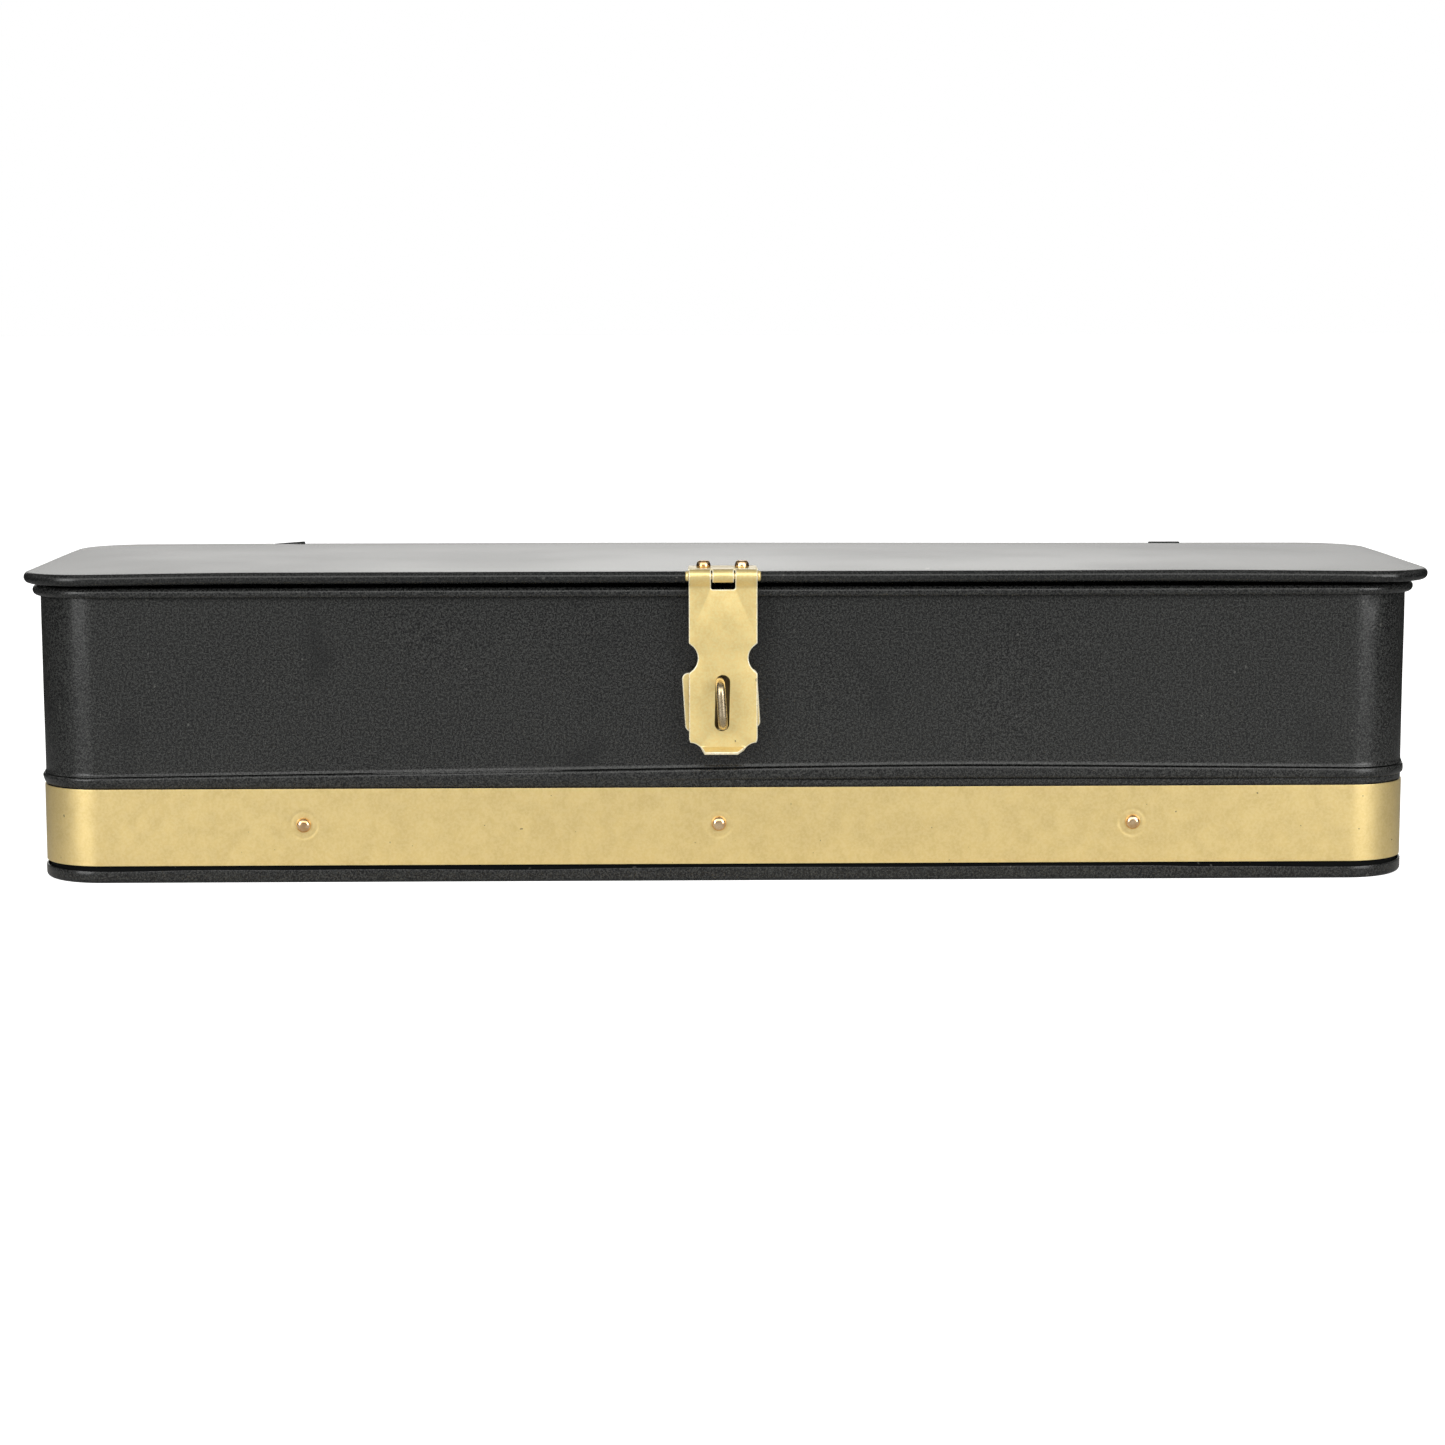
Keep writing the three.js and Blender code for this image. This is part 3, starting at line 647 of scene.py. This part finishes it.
def wall_section():
    """The wall's section. A height over BEAD_MARK is a share of the bead's height."""
    roll_x, roll_z = RIM_ROLL - SHEET, WALL_TOP - RIM_ROLL
    turn, foot = 1.45 * MM, 2.0 * MM
    flange = 9 * MM
    low = [z * MM for z in (2.5, 2.9, 3.3, 4.9, 5.3, 5.7)]
    low += steps_between(8 * MM, BEAD_FOOT - 0.3 * MM, 0.004)
    high = steps_between(38 * MM, roll_z - 0.5 * MM, 0.003)
    slots = [edge + side * step for edges in (CREASE, UNDERCUT)
             for edge, side in zip(edges, (1, -1)) for step in (0, 0.006, 0.013)]
    bead = [BEAD_MARK + share for share in sorted(BEAD_SHARES + slots)]
    return [
        (-flange, foot - turn),
        *arc(-turn, foot, turn, -90, 0, 8),
        *[(0, z) for z in low + bead + high],
        *arc(roll_x, roll_z, RIM_ROLL - SHEET, 180, -112.5, 28),
        *arc(roll_x, roll_z, RIM_ROLL, -112.5, 180, 32),
        *[(-SHEET, z) for z in (low + bead + high)[::-1]],
        *arc(-turn, foot, turn - SHEET, 0, -90, 8),
        (-flange, foot - turn + SHEET),
    ]


DINGS = [((0.1825, -0.0495, 0.0785), 2.2 * MM, 0.45 * MM), ((-0.1865, -0.0475, 0.078), 3.0 * MM, 0.2 * MM)]


def ding(x, y, z):
    """How far the small knocks near the top corners push the sheet in."""
    return sum(depth * math.exp(-((Vector((x, y, z)) - Vector(place)).length / reach) ** 2)
               for place, reach, depth in DINGS)


def gap_depth(z):
    """How far the wall stands back behind the pan's lip, which keeps the gap over the lip dark."""
    return 0.65 * MM * (smooth(z, 2.7 * MM, 3.2 * MM) - smooth(z, 5.0 * MM, 5.5 * MM))


def wall_warp(x, y, offset, z):
    """The wall waves a little, swells into its bead, and steps back in the gap and at a ding."""
    if z > BEAD_MARK / 2:
        share = z - BEAD_MARK
        z = BEAD_FOOT + share * (crease_height(x) - BEAD_FOOT)
        offset += bead_offset(share, x)
    fade = smooth(z, 5 * MM, 20 * MM) * smooth(WALL_TOP - z, 2 * MM, 12 * MM)
    return offset + fade * wall_wander(x, y, z) - gap_depth(z) - ding(x, y, z), z


def body_wall():
    wall = sweep("body_wall_fine", BODY_PLACES, wall_section(), wall_warp)
    # The strip of wall in the gap over the pan's lip takes the second material, a darker copy of the paint
    # that is painted shade.
    in_gap = [face.center.z < BAND_LOW.z + 0.4 * MM for face in wall.data.polygons]
    wall.data.polygons.foreach_set("material_index", in_gap)
    finish_piece(wall, "case", "body_wall", "black_paint", BLACK, GAP_SHADE_BLACK)


def lip_droop(x, y):
    """How far short of its full height the pan's lip falls, most of all near the front corners."""
    dips = [(-0.172, 0.014, 0.4), (0.171, 0.020, 0.55), (-0.055, 0.030, 0.35), (0.135, 0.012, 0.3)]
    droop = 0.68 + 0.2 * smooth(-x, 0.0, 0.1) + 0.22 * ripple(x, y, 0, 0.03, 5.3)
    for place, reach, depth in dips:
        if y < 0:
            droop += depth * math.exp(-((x - place) / reach) ** 2)
    return droop * MM


def pan_warp(x, y, offset, z):
    """The top of the lip droops and wavers."""
    if z > 3.5 * MM:
        z -= lip_droop(x, y)
        offset += 0.05 * MM * ripple(x, y, 0, 0.012, 9.1)
    return offset, z


def base_pan():
    lip = PAN_PROUD
    sheet = 0.5 * MM
    edge = 1.3 * MM
    top = PAN_HIGH.z
    section = [
        *arc(lip - edge, edge, edge, -90, 0, 12),
        (lip, top - 1.1 * MM),
        (lip, top - 0.16 * MM),
        (lip - 0.05 * MM, top - 0.05 * MM),
        (lip - 0.16 * MM, top),
        (lip - sheet + 0.05 * MM, top - 0.02 * MM),
        (lip - sheet, top - 1.1 * MM),
        *arc(lip - edge, edge, edge - sheet, 0, -90, 8),
    ]
    pan = sweep("base_pan_fine", BODY_PLACES, section, pan_warp, closed=False)
    finish_piece(pan, "case", "base_pan", "black_paint", PAN_BLACK)


def band_warp(x, y, offset, z):
    """The band follows the wall, with a fine ring pressed in round each rivet by the setting tool."""
    reach = np.sqrt(((RIVET_CENTRES - (x, y, z)) ** 2).sum(axis=1)).min()
    dimple = 0.09 * MM * math.exp(-((reach - 3.7 * MM) / (0.4 * MM)) ** 2)
    dimple += 0.08 * MM * math.exp(-(reach / (3 * MM)) ** 2)
    return offset + wall_wander(x, y, z) * 0.6 - dimple, z


def trim_band():
    low, high = BAND_LOW.z, BAND_HIGH.z
    inner = 0.05 * MM
    soft = 0.05 * MM
    support = 0.15 * MM
    middle = steps_between(low + support, high - support, 0.0016, [RIVET_Z], 0.0055, 0.00035)
    outside = [low + soft, *middle, high - soft]
    section = [
        (BAND_PROUD - soft, low),
        *[(BAND_PROUD, z) for z in outside],
        (BAND_PROUD - soft * 0.4, high - soft * 0.3),
        (BAND_PROUD - soft, high),
        (inner, high),
        *[(inner, z) for z in outside[::-1]],
        (inner, low),
    ]
    places = stations(BODY_HALF, BODY_CORNER, fine_x=RIVET_X, fine_y=[0.0], fine_step=0.00035)
    band = sweep("trim_band_fine", places, section, band_warp)
    joint = ((0, BODY_HALF.y, (low + high) / 2), (0.5 * MM, 4 * MM, 40 * MM))
    cut_boxes(band, [joint])
    finish_piece(band, "case", "trim_band", "gold_paint", GOLD)


# ---- Lid -----------------------------------------------------------------------------------

HINGE_TABS = ["hinge_tab_left", "hinge_tab_right"]
LID_CROWN = 0.75 * MM


def crown(obj, grid=0.008):
    """Domes the lid's flat sheet very slightly, with a little unevenness."""
    bm = bmesh.new()
    bm.from_mesh(obj.data)
    for axis, half in ((0, LID_HALF.x), (1, LID_HALF.y)):
        plane = Vector((0, 0, 0))
        plane[axis] = 1
        for place in np.arange(-half + grid, half - grid / 2, grid):
            cut_across(bm, plane * place, plane)
    for vert in bm.verts:
        x, y, z = vert.co
        across = max(0.0, 1 - (y / (LID_HALF.y - LID_ROLL)) ** 2)
        along = max(0.0, 1 - (x / (LID_HALF.x - LID_ROLL)) ** 2)
        if min(across, along) > 0:
            lift = LID_CROWN * across * (1 - (1 - along) ** 3)
            dent = 0.06 * MM * ripple(x, y, 0, 0.045, 1.7) * min(1, 6 * across) * min(1, 6 * along)
            vert.co.z += lift + dent
    bm.to_mesh(obj.data)
    bm.free()


def lid_droop(x, y):
    """How far the lid hangs below level: a little at its front corners and towards its right rear one."""
    ends = 0.6 * MM * smooth(abs(x), 0.13, 0.2) * (1 - 0.8 * smooth(y, -0.045, 0.03))
    rear = 0.5 * MM * smooth(y, -LID_HALF.y, LID_HALF.y) * smooth(x, -0.05, 0.15)
    return ends + rear


def lid_warp(x, y, offset, z):
    """The rolled edge follows the droop, and is not quite even along its length."""
    low = max(0.0, (LID_HIGH.z - z) / (2 * LID_ROLL))
    return offset, z - lid_droop(x, y) + 0.10 * MM * low * ripple(x, y, 0, 0.03, 4.4)


def lid_dents(x, y, offset, z):
    """Small knocks in the rolled edge at the front corners."""
    depth = sum(0.3 * MM * math.exp(-((Vector((x, y)) - Vector(place)).length / (1.6 * MM)) ** 2)
                for place in ((-0.1905, -0.0515), (0.1845, -0.0555), (0.1815, -0.0565)))
    return offset - depth, z


def lid_panel():
    places = stations(LID_HALF, LID_CORNER, corner_steps=40)
    section = [
        *arc(-LID_ROLL, HINGE.z, LID_ROLL - SHEET, 90, -180, 28),
        *arc(-LID_ROLL, HINGE.z, LID_ROLL, -180, 90, 34),
    ]
    lid = sweep("lid_panel_fine", places, section, lid_dents, closed=False)
    crown(lid)
    for vert in lid.data.vertices:
        vert.co.z = lid_warp(vert.co.x, vert.co.y, 0, vert.co.z)[1]
    lid.data.transform(Matrix.Translation((LID_SHIFT, 0, 0)))
    wide, deep, reach = 10.6 * MM, 2.6 * MM, 10 * MM
    notches = [((centre_of(tab).x, HINGE.y - deep + reach / 2, HINGE.z), (wide, reach, reach))
               for tab in HINGE_TABS]
    cut_boxes(lid, notches)
    finish_piece(lid, "lid", "lid_panel", "black_paint", LID_BLACK)


TAB_PLACES = [centre_of(tab).x - LID_SHIFT for tab in HINGE_TABS]


def wire_warp(x, y, offset, z):
    """The wire follows the lid's rolled edge, but runs straight on the hinge's axis through the tabs."""
    away = min(abs(x - place) for place in TAB_PLACES)
    follow = smooth(away, 6 * MM, 16 * MM) if y > 0 else 1.0
    return offset, z + follow * (lid_warp(x, y, offset, z)[1] - z)


def lid_edge_wire():
    radius = 0.85 * MM
    section = arc(-LID_ROLL, HINGE.z, radius, 0, 330, 11)
    wire = sweep("lid_edge_wire_fine", stations(LID_HALF, LID_CORNER), section, wire_warp)
    wire.data.transform(Matrix.Translation((LID_SHIFT, 0, 0)))
    finish_piece(wire, "lid", "lid_edge_wire", "steel_wire", STEEL)


def hinge_tab(node):
    """A strip looped over the lid's edge wire, stepped in to the back wall."""
    middle = centre_of(node)
    low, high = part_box(node)
    sheet = 0.9 * MM
    loop = 2.15 * MM - sheet / 2
    wall = BODY_HALF.y + 0.05 * MM + sheet / 2 - HINGE.y
    side = -1 if middle.x < 0 else 1
    line = Line([
        *arc(0, 0, loop, 250, 0, 36),
        *arc(loop - 1.2 * MM, -3.0 * MM, 1.2 * MM, 0, -45, 6),
        *arc(wall + 1.2 * MM, -4.2 * MM + wall - loop, 1.2 * MM, 135, 180, 6),
        (wall, low.z - HINGE.z),
    ])
    half, corner = (high.x - low.x) / 2, 1.6 * MM
    end = line.length
    outline = [
        (-half, 0), (half, 0),
        *arc(half - corner, end - corner, corner, 0, 90, 6),
        *arc(corner - half, end - corner, corner, 90, 180, 6),
    ]
    tab = bent_sheet(f"{node}_fine", outline, line, sheet)
    # The loops aren't quite true: the left one slopes down to its outer end, and the right one sits low.
    for vert in tab.data.vertices:
        top = max(0.0, vert.co.z / (2.15 * MM)) ** 2
        across = (vert.co.x + half) / (2 * half)
        vert.co.z += top * MM * (0.7 * across - 0.55 if side < 0 else -0.65)
    tab.data.transform(Matrix.Translation((middle.x, HINGE.y, HINGE.z)))
    finish_piece(tab, "case", node, "black_paint", BLACK)


# ---- Hasp ----------------------------------------------------------------------------------

KNUCKLE = 1.9 * MM
STRAP_SHEET = 0.9 * MM
STRAP_HALF = (STRAP_HIGH.x - STRAP_LOW.x) / 2
STRAP_FOOT = -47.85 * MM
LIP_TURN = 62
LIP_STEPS = 14


def place_at_pin(obj):
    """Moves a piece drawn round the origin to the hasp's pin."""
    obj.data.transform(Matrix.Translation(HASP_PIN))


def strap_line():
    """The strap's bend from the tip of its lip, up the plate, and round the pin from the front."""
    roll = KNUCKLE - STRAP_SHEET / 2
    plate, bend, lip, tip = 0.95 * MM, 1.6 * MM, 0.9 * MM, 2.4 * MM
    turn = math.radians(LIP_TURN)
    slope = math.sqrt(0.5)
    plate_top = -2 * roll * slope - (plate - bend * (1 - slope)) - bend * slope
    end = (plate - lip + lip * math.cos(turn), STRAP_FOOT - lip * math.sin(turn))
    return Line([
        (end[0] - tip * math.sin(turn), end[1] - tip * math.cos(turn)),
        *arc(plate - lip, STRAP_FOOT, lip, -LIP_TURN, 0, LIP_STEPS),
        *arc(plate - bend, plate_top, bend, 0, 45, 10),
        *arc(0, 0, roll, 225, -60, 60),
    ])


def strap_half_width(z):
    """Half the strap's width at height z over the pin, with softly shouldered waist notches."""
    radius, depth = 4.3 * MM, 2.5 * MM
    t = (z + 23.0 * MM) * (1.0 if z > -23.0 * MM else 0.93)
    bite = math.sqrt(max(0.0, radius ** 2 - t ** 2)) - (radius - depth)
    return STRAP_HALF - (bite + math.hypot(bite, 0.25 * MM)) / 2


def hasp_strap():
    line = strap_line()
    plate_start = line.at[LIP_STEPS + 1]
    level = lambda z: plate_start + (z - STRAP_FOOT)
    end = line.length
    waist = [(strap_half_width(z), level(z)) for z in np.linspace(-29.2 * MM, -16.8 * MM, 30)]
    scoop = [(x, level(y)) for x, y in arc(STRAP_HALF, -51.2 * MM, 4.3 * MM, 140, 94, 9)]
    window, corner = 3.4 * MM, 0.6 * MM
    sill = level(-3.85 * MM)
    side = [*scoop, (STRAP_HALF, level(-45.9 * MM)), *waist, (STRAP_HALF, end), (window, end)]
    side += arc(window - corner, sill + corner, corner, 0, -90, 4)
    mirrored = [(-x, distance) for x, distance in side][::-1]
    outline = [(4.1 * MM, 0), (5.7 * MM, 1.9 * MM), *side, *mirrored, (-5.3 * MM, 0)]
    straight, width = 5.85 * MM, 2.05 * MM
    slot = [*arc(0, straight, width, 0, 180, 14), *arc(0, -straight, width, 180, 360, 14)]
    tilt = math.radians(1.4)
    slot = [(x * math.cos(tilt) + y * math.sin(tilt) - 0.25 * MM, y - x * math.sin(tilt)) for x, y in slot]
    slot = [(x, level(-35.7 * MM) + y) for x, y in slot]
    strap = bent_sheet("hasp_strap_fine", outline, line, STRAP_SHEET, holes=[slot])
    place_at_pin(strap)
    finish_piece(strap, "hasp", "hasp_strap", "gold_paint", HASP_GOLD, EDGE_HIGHLIGHT_GOLD, SLOT_SHADE_GOLD)


def hasp_leaf():
    low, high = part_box("hasp_leaf")
    sheet = 0.8 * MM
    top = high.z - sheet / 2 - HASP_PIN.z
    line = Line([(high.y - HASP_PIN.y, top), *arc(0, 0, KNUCKLE - sheet / 2, 90, 345, 60)])
    half, tongue, corner = (high.x - low.x) / 2, 3.0 * MM, 1.3 * MM
    front = high.y - HASP_PIN.y - (KNUCKLE + 0.35 * MM)
    outline = [
        *arc(corner - half, corner, corner, 180, 270, 6),
        *arc(half - corner, corner, corner, 270, 360, 6),
        (half, front), (tongue, front), (tongue, line.length),
        (-tongue, line.length), (-tongue, front), (-half, front),
    ]
    leaf = bent_sheet("hasp_leaf_fine", outline, line, sheet)
    place_at_pin(leaf)
    finish_piece(leaf, "lid", "hasp_leaf", "gold_paint", HASP_GOLD, EDGE_HIGHLIGHT_GOLD)


def hasp_pin():
    low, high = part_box("hasp_pin")
    half = (high.x - low.x) / 2
    head, shank = 1.45 * MM, 0.9 * MM
    under = STRAP_HALF + 0.05 * MM
    end = [(shank, under), (head - 0.1 * MM, under), (head, under + 0.1 * MM), (head, under + 0.5 * MM),
           (head - 0.16 * MM, half - 0.14 * MM), (head - 0.45 * MM, half), (0, half)]
    profile = [(r, -z) for r, z in end[::-1]] + end
    pin = lathe("hasp_pin_fine", profile, HASP_PIN, (1, 0, 0), 32)
    finish_piece(pin, "hasp", "hasp_pin", "gold_paint", HASP_GOLD)


# ---- Staple --------------------------------------------------------------------------------

STAPLE_TILT = math.radians(3.6)
STAPLE_Z = HASP_PIN.z - 35.7 * MM
STAPLE_FRAME = (Matrix.Translation((centre_of("staple_plate").x, -BODY_HALF.y, STAPLE_Z))
                @ Matrix.Rotation(-STAPLE_TILT, 4, "Y"))


def staple_plate():
    width, height, sheet, corner = 21.2 * MM, 16.8 * MM, 1.0 * MM, 1.8 * MM
    middle = -0.05 * MM - sheet / 2
    line = Line([(middle, -height / 2), (middle, height / 2)])
    outline = [
        *arc(corner - width / 2, corner, corner, 180, 270, 8),
        *arc(width / 2 - corner, corner, corner, 270, 360, 8),
        *arc(width / 2 - corner, height - corner, corner, 0, 90, 8),
        *arc(corner - width / 2, height - corner, corner, 90, 180, 8),
    ]
    plate = bent_sheet("staple_plate_fine", outline, line, sheet)
    plate.data.transform(STAPLE_FRAME)
    finish_piece(plate, "case", "staple_plate", "gold_paint", PLATE_GOLD, EDGE_HIGHLIGHT_GOLD)


def staple():
    leg, wire, corner = 6.0 * MM, 1.3 * MM, 3.1 * MM
    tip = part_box("staple")[0].y + wire + BODY_HALF.y
    inside = SHEET + wire + 0.15 * MM
    upper = [
        *[(inside, leg + 6 * MM - 4 * MM * k / 6) for k in range(7)],
        *arc(inside - 2 * MM, leg + 2 * MM, 2 * MM, 0, -90, 10)[1:],
        *[(inside - 2 * MM + (tip + corner - inside + 2 * MM) * k / 10, leg) for k in range(1, 11)],
        *arc(tip + corner, leg - corner, corner, 90, 180, 16)[1:],
    ]
    path = upper + [(y, -z) for y, z in upper[::-1]]
    wire_loop = tube("staple_fine", [(0, y, z) for y, z in path], wire, (1, 0, 0))
    wire_loop.data.transform(STAPLE_FRAME)
    finish_piece(wire_loop, "case", "staple", "staple_brass", STAPLE_BRASS)


# ---- Rivets --------------------------------------------------------------------------------

def rivet_profile(head, height, shank, grip, tail, tail_height, flat=0.0):
    """A rivet from the end of its tail to the top of its head. flat widens the head's level top."""
    bottom = -grip - 0.1 * MM
    dome = [(flat + (head - flat) * x, height * y) for x, y in arc(0, 0, 1, 6, 90, 14)]
    return [
        (0, bottom - tail_height),
        (0.6 * tail, bottom - tail_height),
        (0.9 * tail, bottom - 0.75 * tail_height),
        (tail, bottom - 0.4 * tail_height),
        (0.96 * tail, bottom),
        (shank, bottom),
        (shank, 0),
        (0.97 * head, 0),
        *dome,
        (0, height),
    ]


def rivets():
    thin, lid_grip = SHEET + BAND_PROUD, 1.55 * MM
    kinds = {
        "band_rivet": (rivet_profile(2.12 * MM, 1.3 * MM, MM, thin, 1.6 * MM, 0.6 * MM, 0.5 * MM),
                       BRASS, "brass_rivet"),
        "leaf_rivet": (rivet_profile(2.05 * MM, 1.8 * MM, MM, lid_grip, 1.7 * MM, 0.7 * MM, 1.1 * MM),
                       BRASS, "brass_rivet"),
        "plate_rivet": (rivet_profile(1.8 * MM, 0.7 * MM, 0.9 * MM, 1.75 * MM, 1.5 * MM, 0.6 * MM),
                        GOLD, "gold_paint"),
        "hinge_rivet": (rivet_profile(1.9 * MM, 1.1 * MM, MM, 1.65 * MM, 1.6 * MM, 0.6 * MM),
                        BLACK, "black_paint"),
    }
    for node, obj in sorted(frame["nodes"].items()):
        kind = next((k for k in kinds if node.startswith(k)), None)
        if not kind:
            continue
        profile, material, slot = kinds[kind]
        normal = rivet_normal(node)
        low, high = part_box(node)
        tip = Vector([high[k] if normal[k] > 0 else low[k] for k in range(3)])
        middle = (low + high) / 2
        foot = Vector([tip[k] if normal[k] else middle[k] for k in range(3)]) - normal * profile[-1][1]
        piece = lathe(f"{node}_fine", profile, foot, normal)
        finish_piece(piece, obj["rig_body"], node, slot, material)


def rivet_normal(node):
    if node.startswith("leaf"):
        return Vector((0, 0, 1))
    if "side" in node:
        return Vector((-1 if "left" in node else 1, 0, 0))
    facing_back = "rear" in node or node.startswith("hinge")
    return Vector((0, 1 if facing_back else -1, 0))


# ---- The rim's wire stays as the CAD node --------------------------------------------------

def dress_rim_wire():
    wire = frame["nodes"]["rim_wire"]
    wire.data.materials.clear()
    wire.data.materials.append(STEEL)


# ---- Camera, light and floor ---------------------------------------------------------------

def camera():
    data = bpy.data.cameras.new("camera")
    data.sensor_width = 36.0
    data.lens = 76.0
    obj = bpy.data.objects.new("camera", data)
    bpy.context.scene.collection.objects.link(obj)
    yaw, pitch, roll = 0.014, 0.1311, -0.0019
    place = Vector((-0.0129, -0.9065, 0.1581))
    obj.matrix_world = (
        Matrix.Translation(place)
        @ Matrix.Rotation(-yaw, 4, "Z")
        @ Matrix.Rotation(math.pi / 2 - pitch, 4, "X")
        @ Matrix.Rotation(roll, 4, "Z"))
    bpy.context.scene.camera = obj


def panel_light(name, place, target, size, power):
    data = bpy.data.lights.new(name, "AREA")
    data.shape = "RECTANGLE"
    data.size, data.size_y = size
    data.energy = power
    obj = bpy.data.objects.new(name, data)
    obj.location = place
    obj.rotation_euler = (Vector(target) - Vector(place)).to_track_quat("-Z", "Y").to_euler()
    bpy.context.scene.collection.objects.link(obj)


def studio():
    """Two tall panels in front of the box, to its left and right, and a wide dim one overhead."""
    centre = (0, 0, 0.05)
    panel_light("panel_left", (-1.0, -1.1, 0.35), centre, (0.7, 0.9), 9)
    panel_light("panel_right", (1.0, -1.1, 0.35), centre, (0.7, 0.9), 9)
    panel_light("panel_top", (0, 0.1, 1.6), centre, (1.6, 1.2), 2)


WARM = (1, 0.995, 0.97)

# The brightness that reflects in the box, as (place, grey) stops: by heading, from the front at -1 to the
# back at 1, and by height, from the horizon at 0 to straight up at 1.
FRONT_BY_HEADING = [(-1, 1), (-0.7, 0.85), (-0.3, 0.15), (1, 0.02)]
FRONT_BY_HEIGHT = [(0, 0.3), (0.28, 0.42), (0.46, 2.7), (0.68, 2.7), (0.8, 0.4), (1, 0.04)]
BACK_BY_HEADING = [(-1, 0), (0.9, 0), (0.975, 0.8), (1, 1)]
BACK_BY_HEIGHT = [(0, 0.03), (0.035, 0.42), (0.10, 1.65), (0.22, 1.8), (0.34, 0.2), (1, 0.04)]


def surroundings():
    """White to the camera. What reflects in the box is a front bright high up, and a bright low backdrop."""
    world = bpy.data.worlds.new("studio")
    bpy.context.scene.world = world
    world.use_nodes = True
    tree = world.node_tree
    tree.nodes.clear()
    add, join = tree.nodes.new, tree.links.new
    direction = add("ShaderNodeTexCoord").outputs["Generated"]
    split = add("ShaderNodeSeparateXYZ")
    join(direction, split.inputs["Vector"])
    level = add("ShaderNodeVectorMath")
    level.operation = "MULTIPLY"
    level.inputs[1].default_value = (1, 1, 0)
    join(direction, level.inputs[0])
    heading = add("ShaderNodeVectorMath")
    heading.operation = "NORMALIZE"
    join(level.outputs["Vector"], heading.inputs[0])
    split_level = add("ShaderNodeSeparateXYZ")
    join(heading.outputs["Vector"], split_level.inputs["Vector"])

    def shade_by(value, low, high, stops):
        spread = add("ShaderNodeMapRange")
        join(value, spread.inputs["Value"])
        spread.inputs["From Min"].default_value = low
        spread.inputs["From Max"].default_value = high
        ramp = add("ShaderNodeValToRGB")
        join(spread.outputs["Result"], ramp.inputs["Fac"])
        grey_stops(ramp.color_ramp, [((at - low) / (high - low), grey) for at, grey in stops])
        return ramp.outputs["Color"]

    def multiply(first, second):
        node = add("ShaderNodeVectorMath")
        node.operation = "MULTIPLY"
        join(first, node.inputs[0])
        if isinstance(second, tuple):
            node.inputs[1].default_value = second
        else:
            join(second, node.inputs[1])
        return node.outputs["Vector"]

    azimuth, height = split_level.outputs["Y"], split.outputs["Z"]
    front = multiply(shade_by(azimuth, -1, 1, FRONT_BY_HEADING), shade_by(height, 0, 1, FRONT_BY_HEIGHT))
    back = multiply(shade_by(azimuth, -1, 1, BACK_BY_HEADING), shade_by(height, 0, 1, BACK_BY_HEIGHT))
    both = add("ShaderNodeVectorMath")
    both.operation = "ADD"
    join(front, both.inputs[0])
    join(back, both.inputs[1])
    dim = add("ShaderNodeBackground")
    join(multiply(both.outputs["Vector"], WARM), dim.inputs["Color"])
    white = add("ShaderNodeBackground")
    white.inputs["Color"].default_value = (1, 1, 1, 1)
    choose = add("ShaderNodeMixShader")
    join(add("ShaderNodeLightPath").outputs["Is Camera Ray"], choose.inputs["Fac"])
    join(dim.outputs[0], choose.inputs[1])
    join(white.outputs[0], choose.inputs[2])
    join(choose.outputs[0], add("ShaderNodeOutputWorld").inputs["Surface"])


def grey_stops(ramp, stops):
    while len(ramp.elements) < len(stops):
        ramp.elements.new(0.5)
    for element, (position, grey) in zip(ramp.elements, stops):
        element.position = position
        element.color = (grey, grey, grey, 1)


def floor():
    """A wide pale floor, white to the camera. What the box sees of it dims to the sides and behind."""
    material = bpy.data.materials.new("floor_white")
    material.use_nodes = True
    tree = material.node_tree
    add, join = tree.nodes.new, tree.links.new
    shader = tree.nodes["Principled BSDF"]
    shader.inputs["Roughness"].default_value = 0.9
    shader.inputs["Specular IOR Level"].default_value = 0.0
    shader.inputs["Emission Color"].default_value = (1, 1, 1, 1)
    seen = add("ShaderNodeLightPath").outputs["Is Camera Ray"]
    glow = add("ShaderNodeMath")
    glow.operation = "MULTIPLY"
    glow.inputs[1].default_value = 0.92
    join(seen, glow.inputs[0])
    join(glow.outputs[0], shader.inputs["Emission Strength"])
    away = add("ShaderNodeVectorMath")
    away.operation = "DISTANCE"
    away.inputs[1].default_value = (0, -0.35, 0)
    join(add("ShaderNodeTexCoord").outputs["Object"], away.inputs[0])
    fade = add("ShaderNodeMapRange")
    for key, value in {"From Min": 0.3, "From Max": 0.75, "To Min": 0.62, "To Max": 0.04}.items():
        fade.inputs[key].default_value = value
    join(away.outputs["Value"], fade.inputs["Value"])
    pale = add("ShaderNodeMix")
    pale.inputs["B"].default_value = 0.7
    join(seen, pale.inputs["Factor"])
    join(fade.outputs["Result"], pale.inputs["A"])
    join(pale.outputs["Result"], shader.inputs["Base Color"])
    reach = 30.0
    corners = [(-reach, -reach, 0), (reach, -reach, 0), (reach, reach, 0), (-reach, reach, 0)]
    obj = make_object("floor", corners, [(0, 1, 2, 3)])
    obj.data.materials.append(material)


# ---- Scene ---------------------------------------------------------------------------------

camera()
body_wall()
base_pan()
trim_band()
lid_panel()
lid_edge_wire()
for tab_node in HINGE_TABS:
    hinge_tab(tab_node)
hasp_strap()
hasp_leaf()
hasp_pin()
staple_plate()
staple()
rivets()
dress_rim_wire()
surroundings()
studio()
floor()
bpy.context.scene.view_settings.view_transform = "Standard"
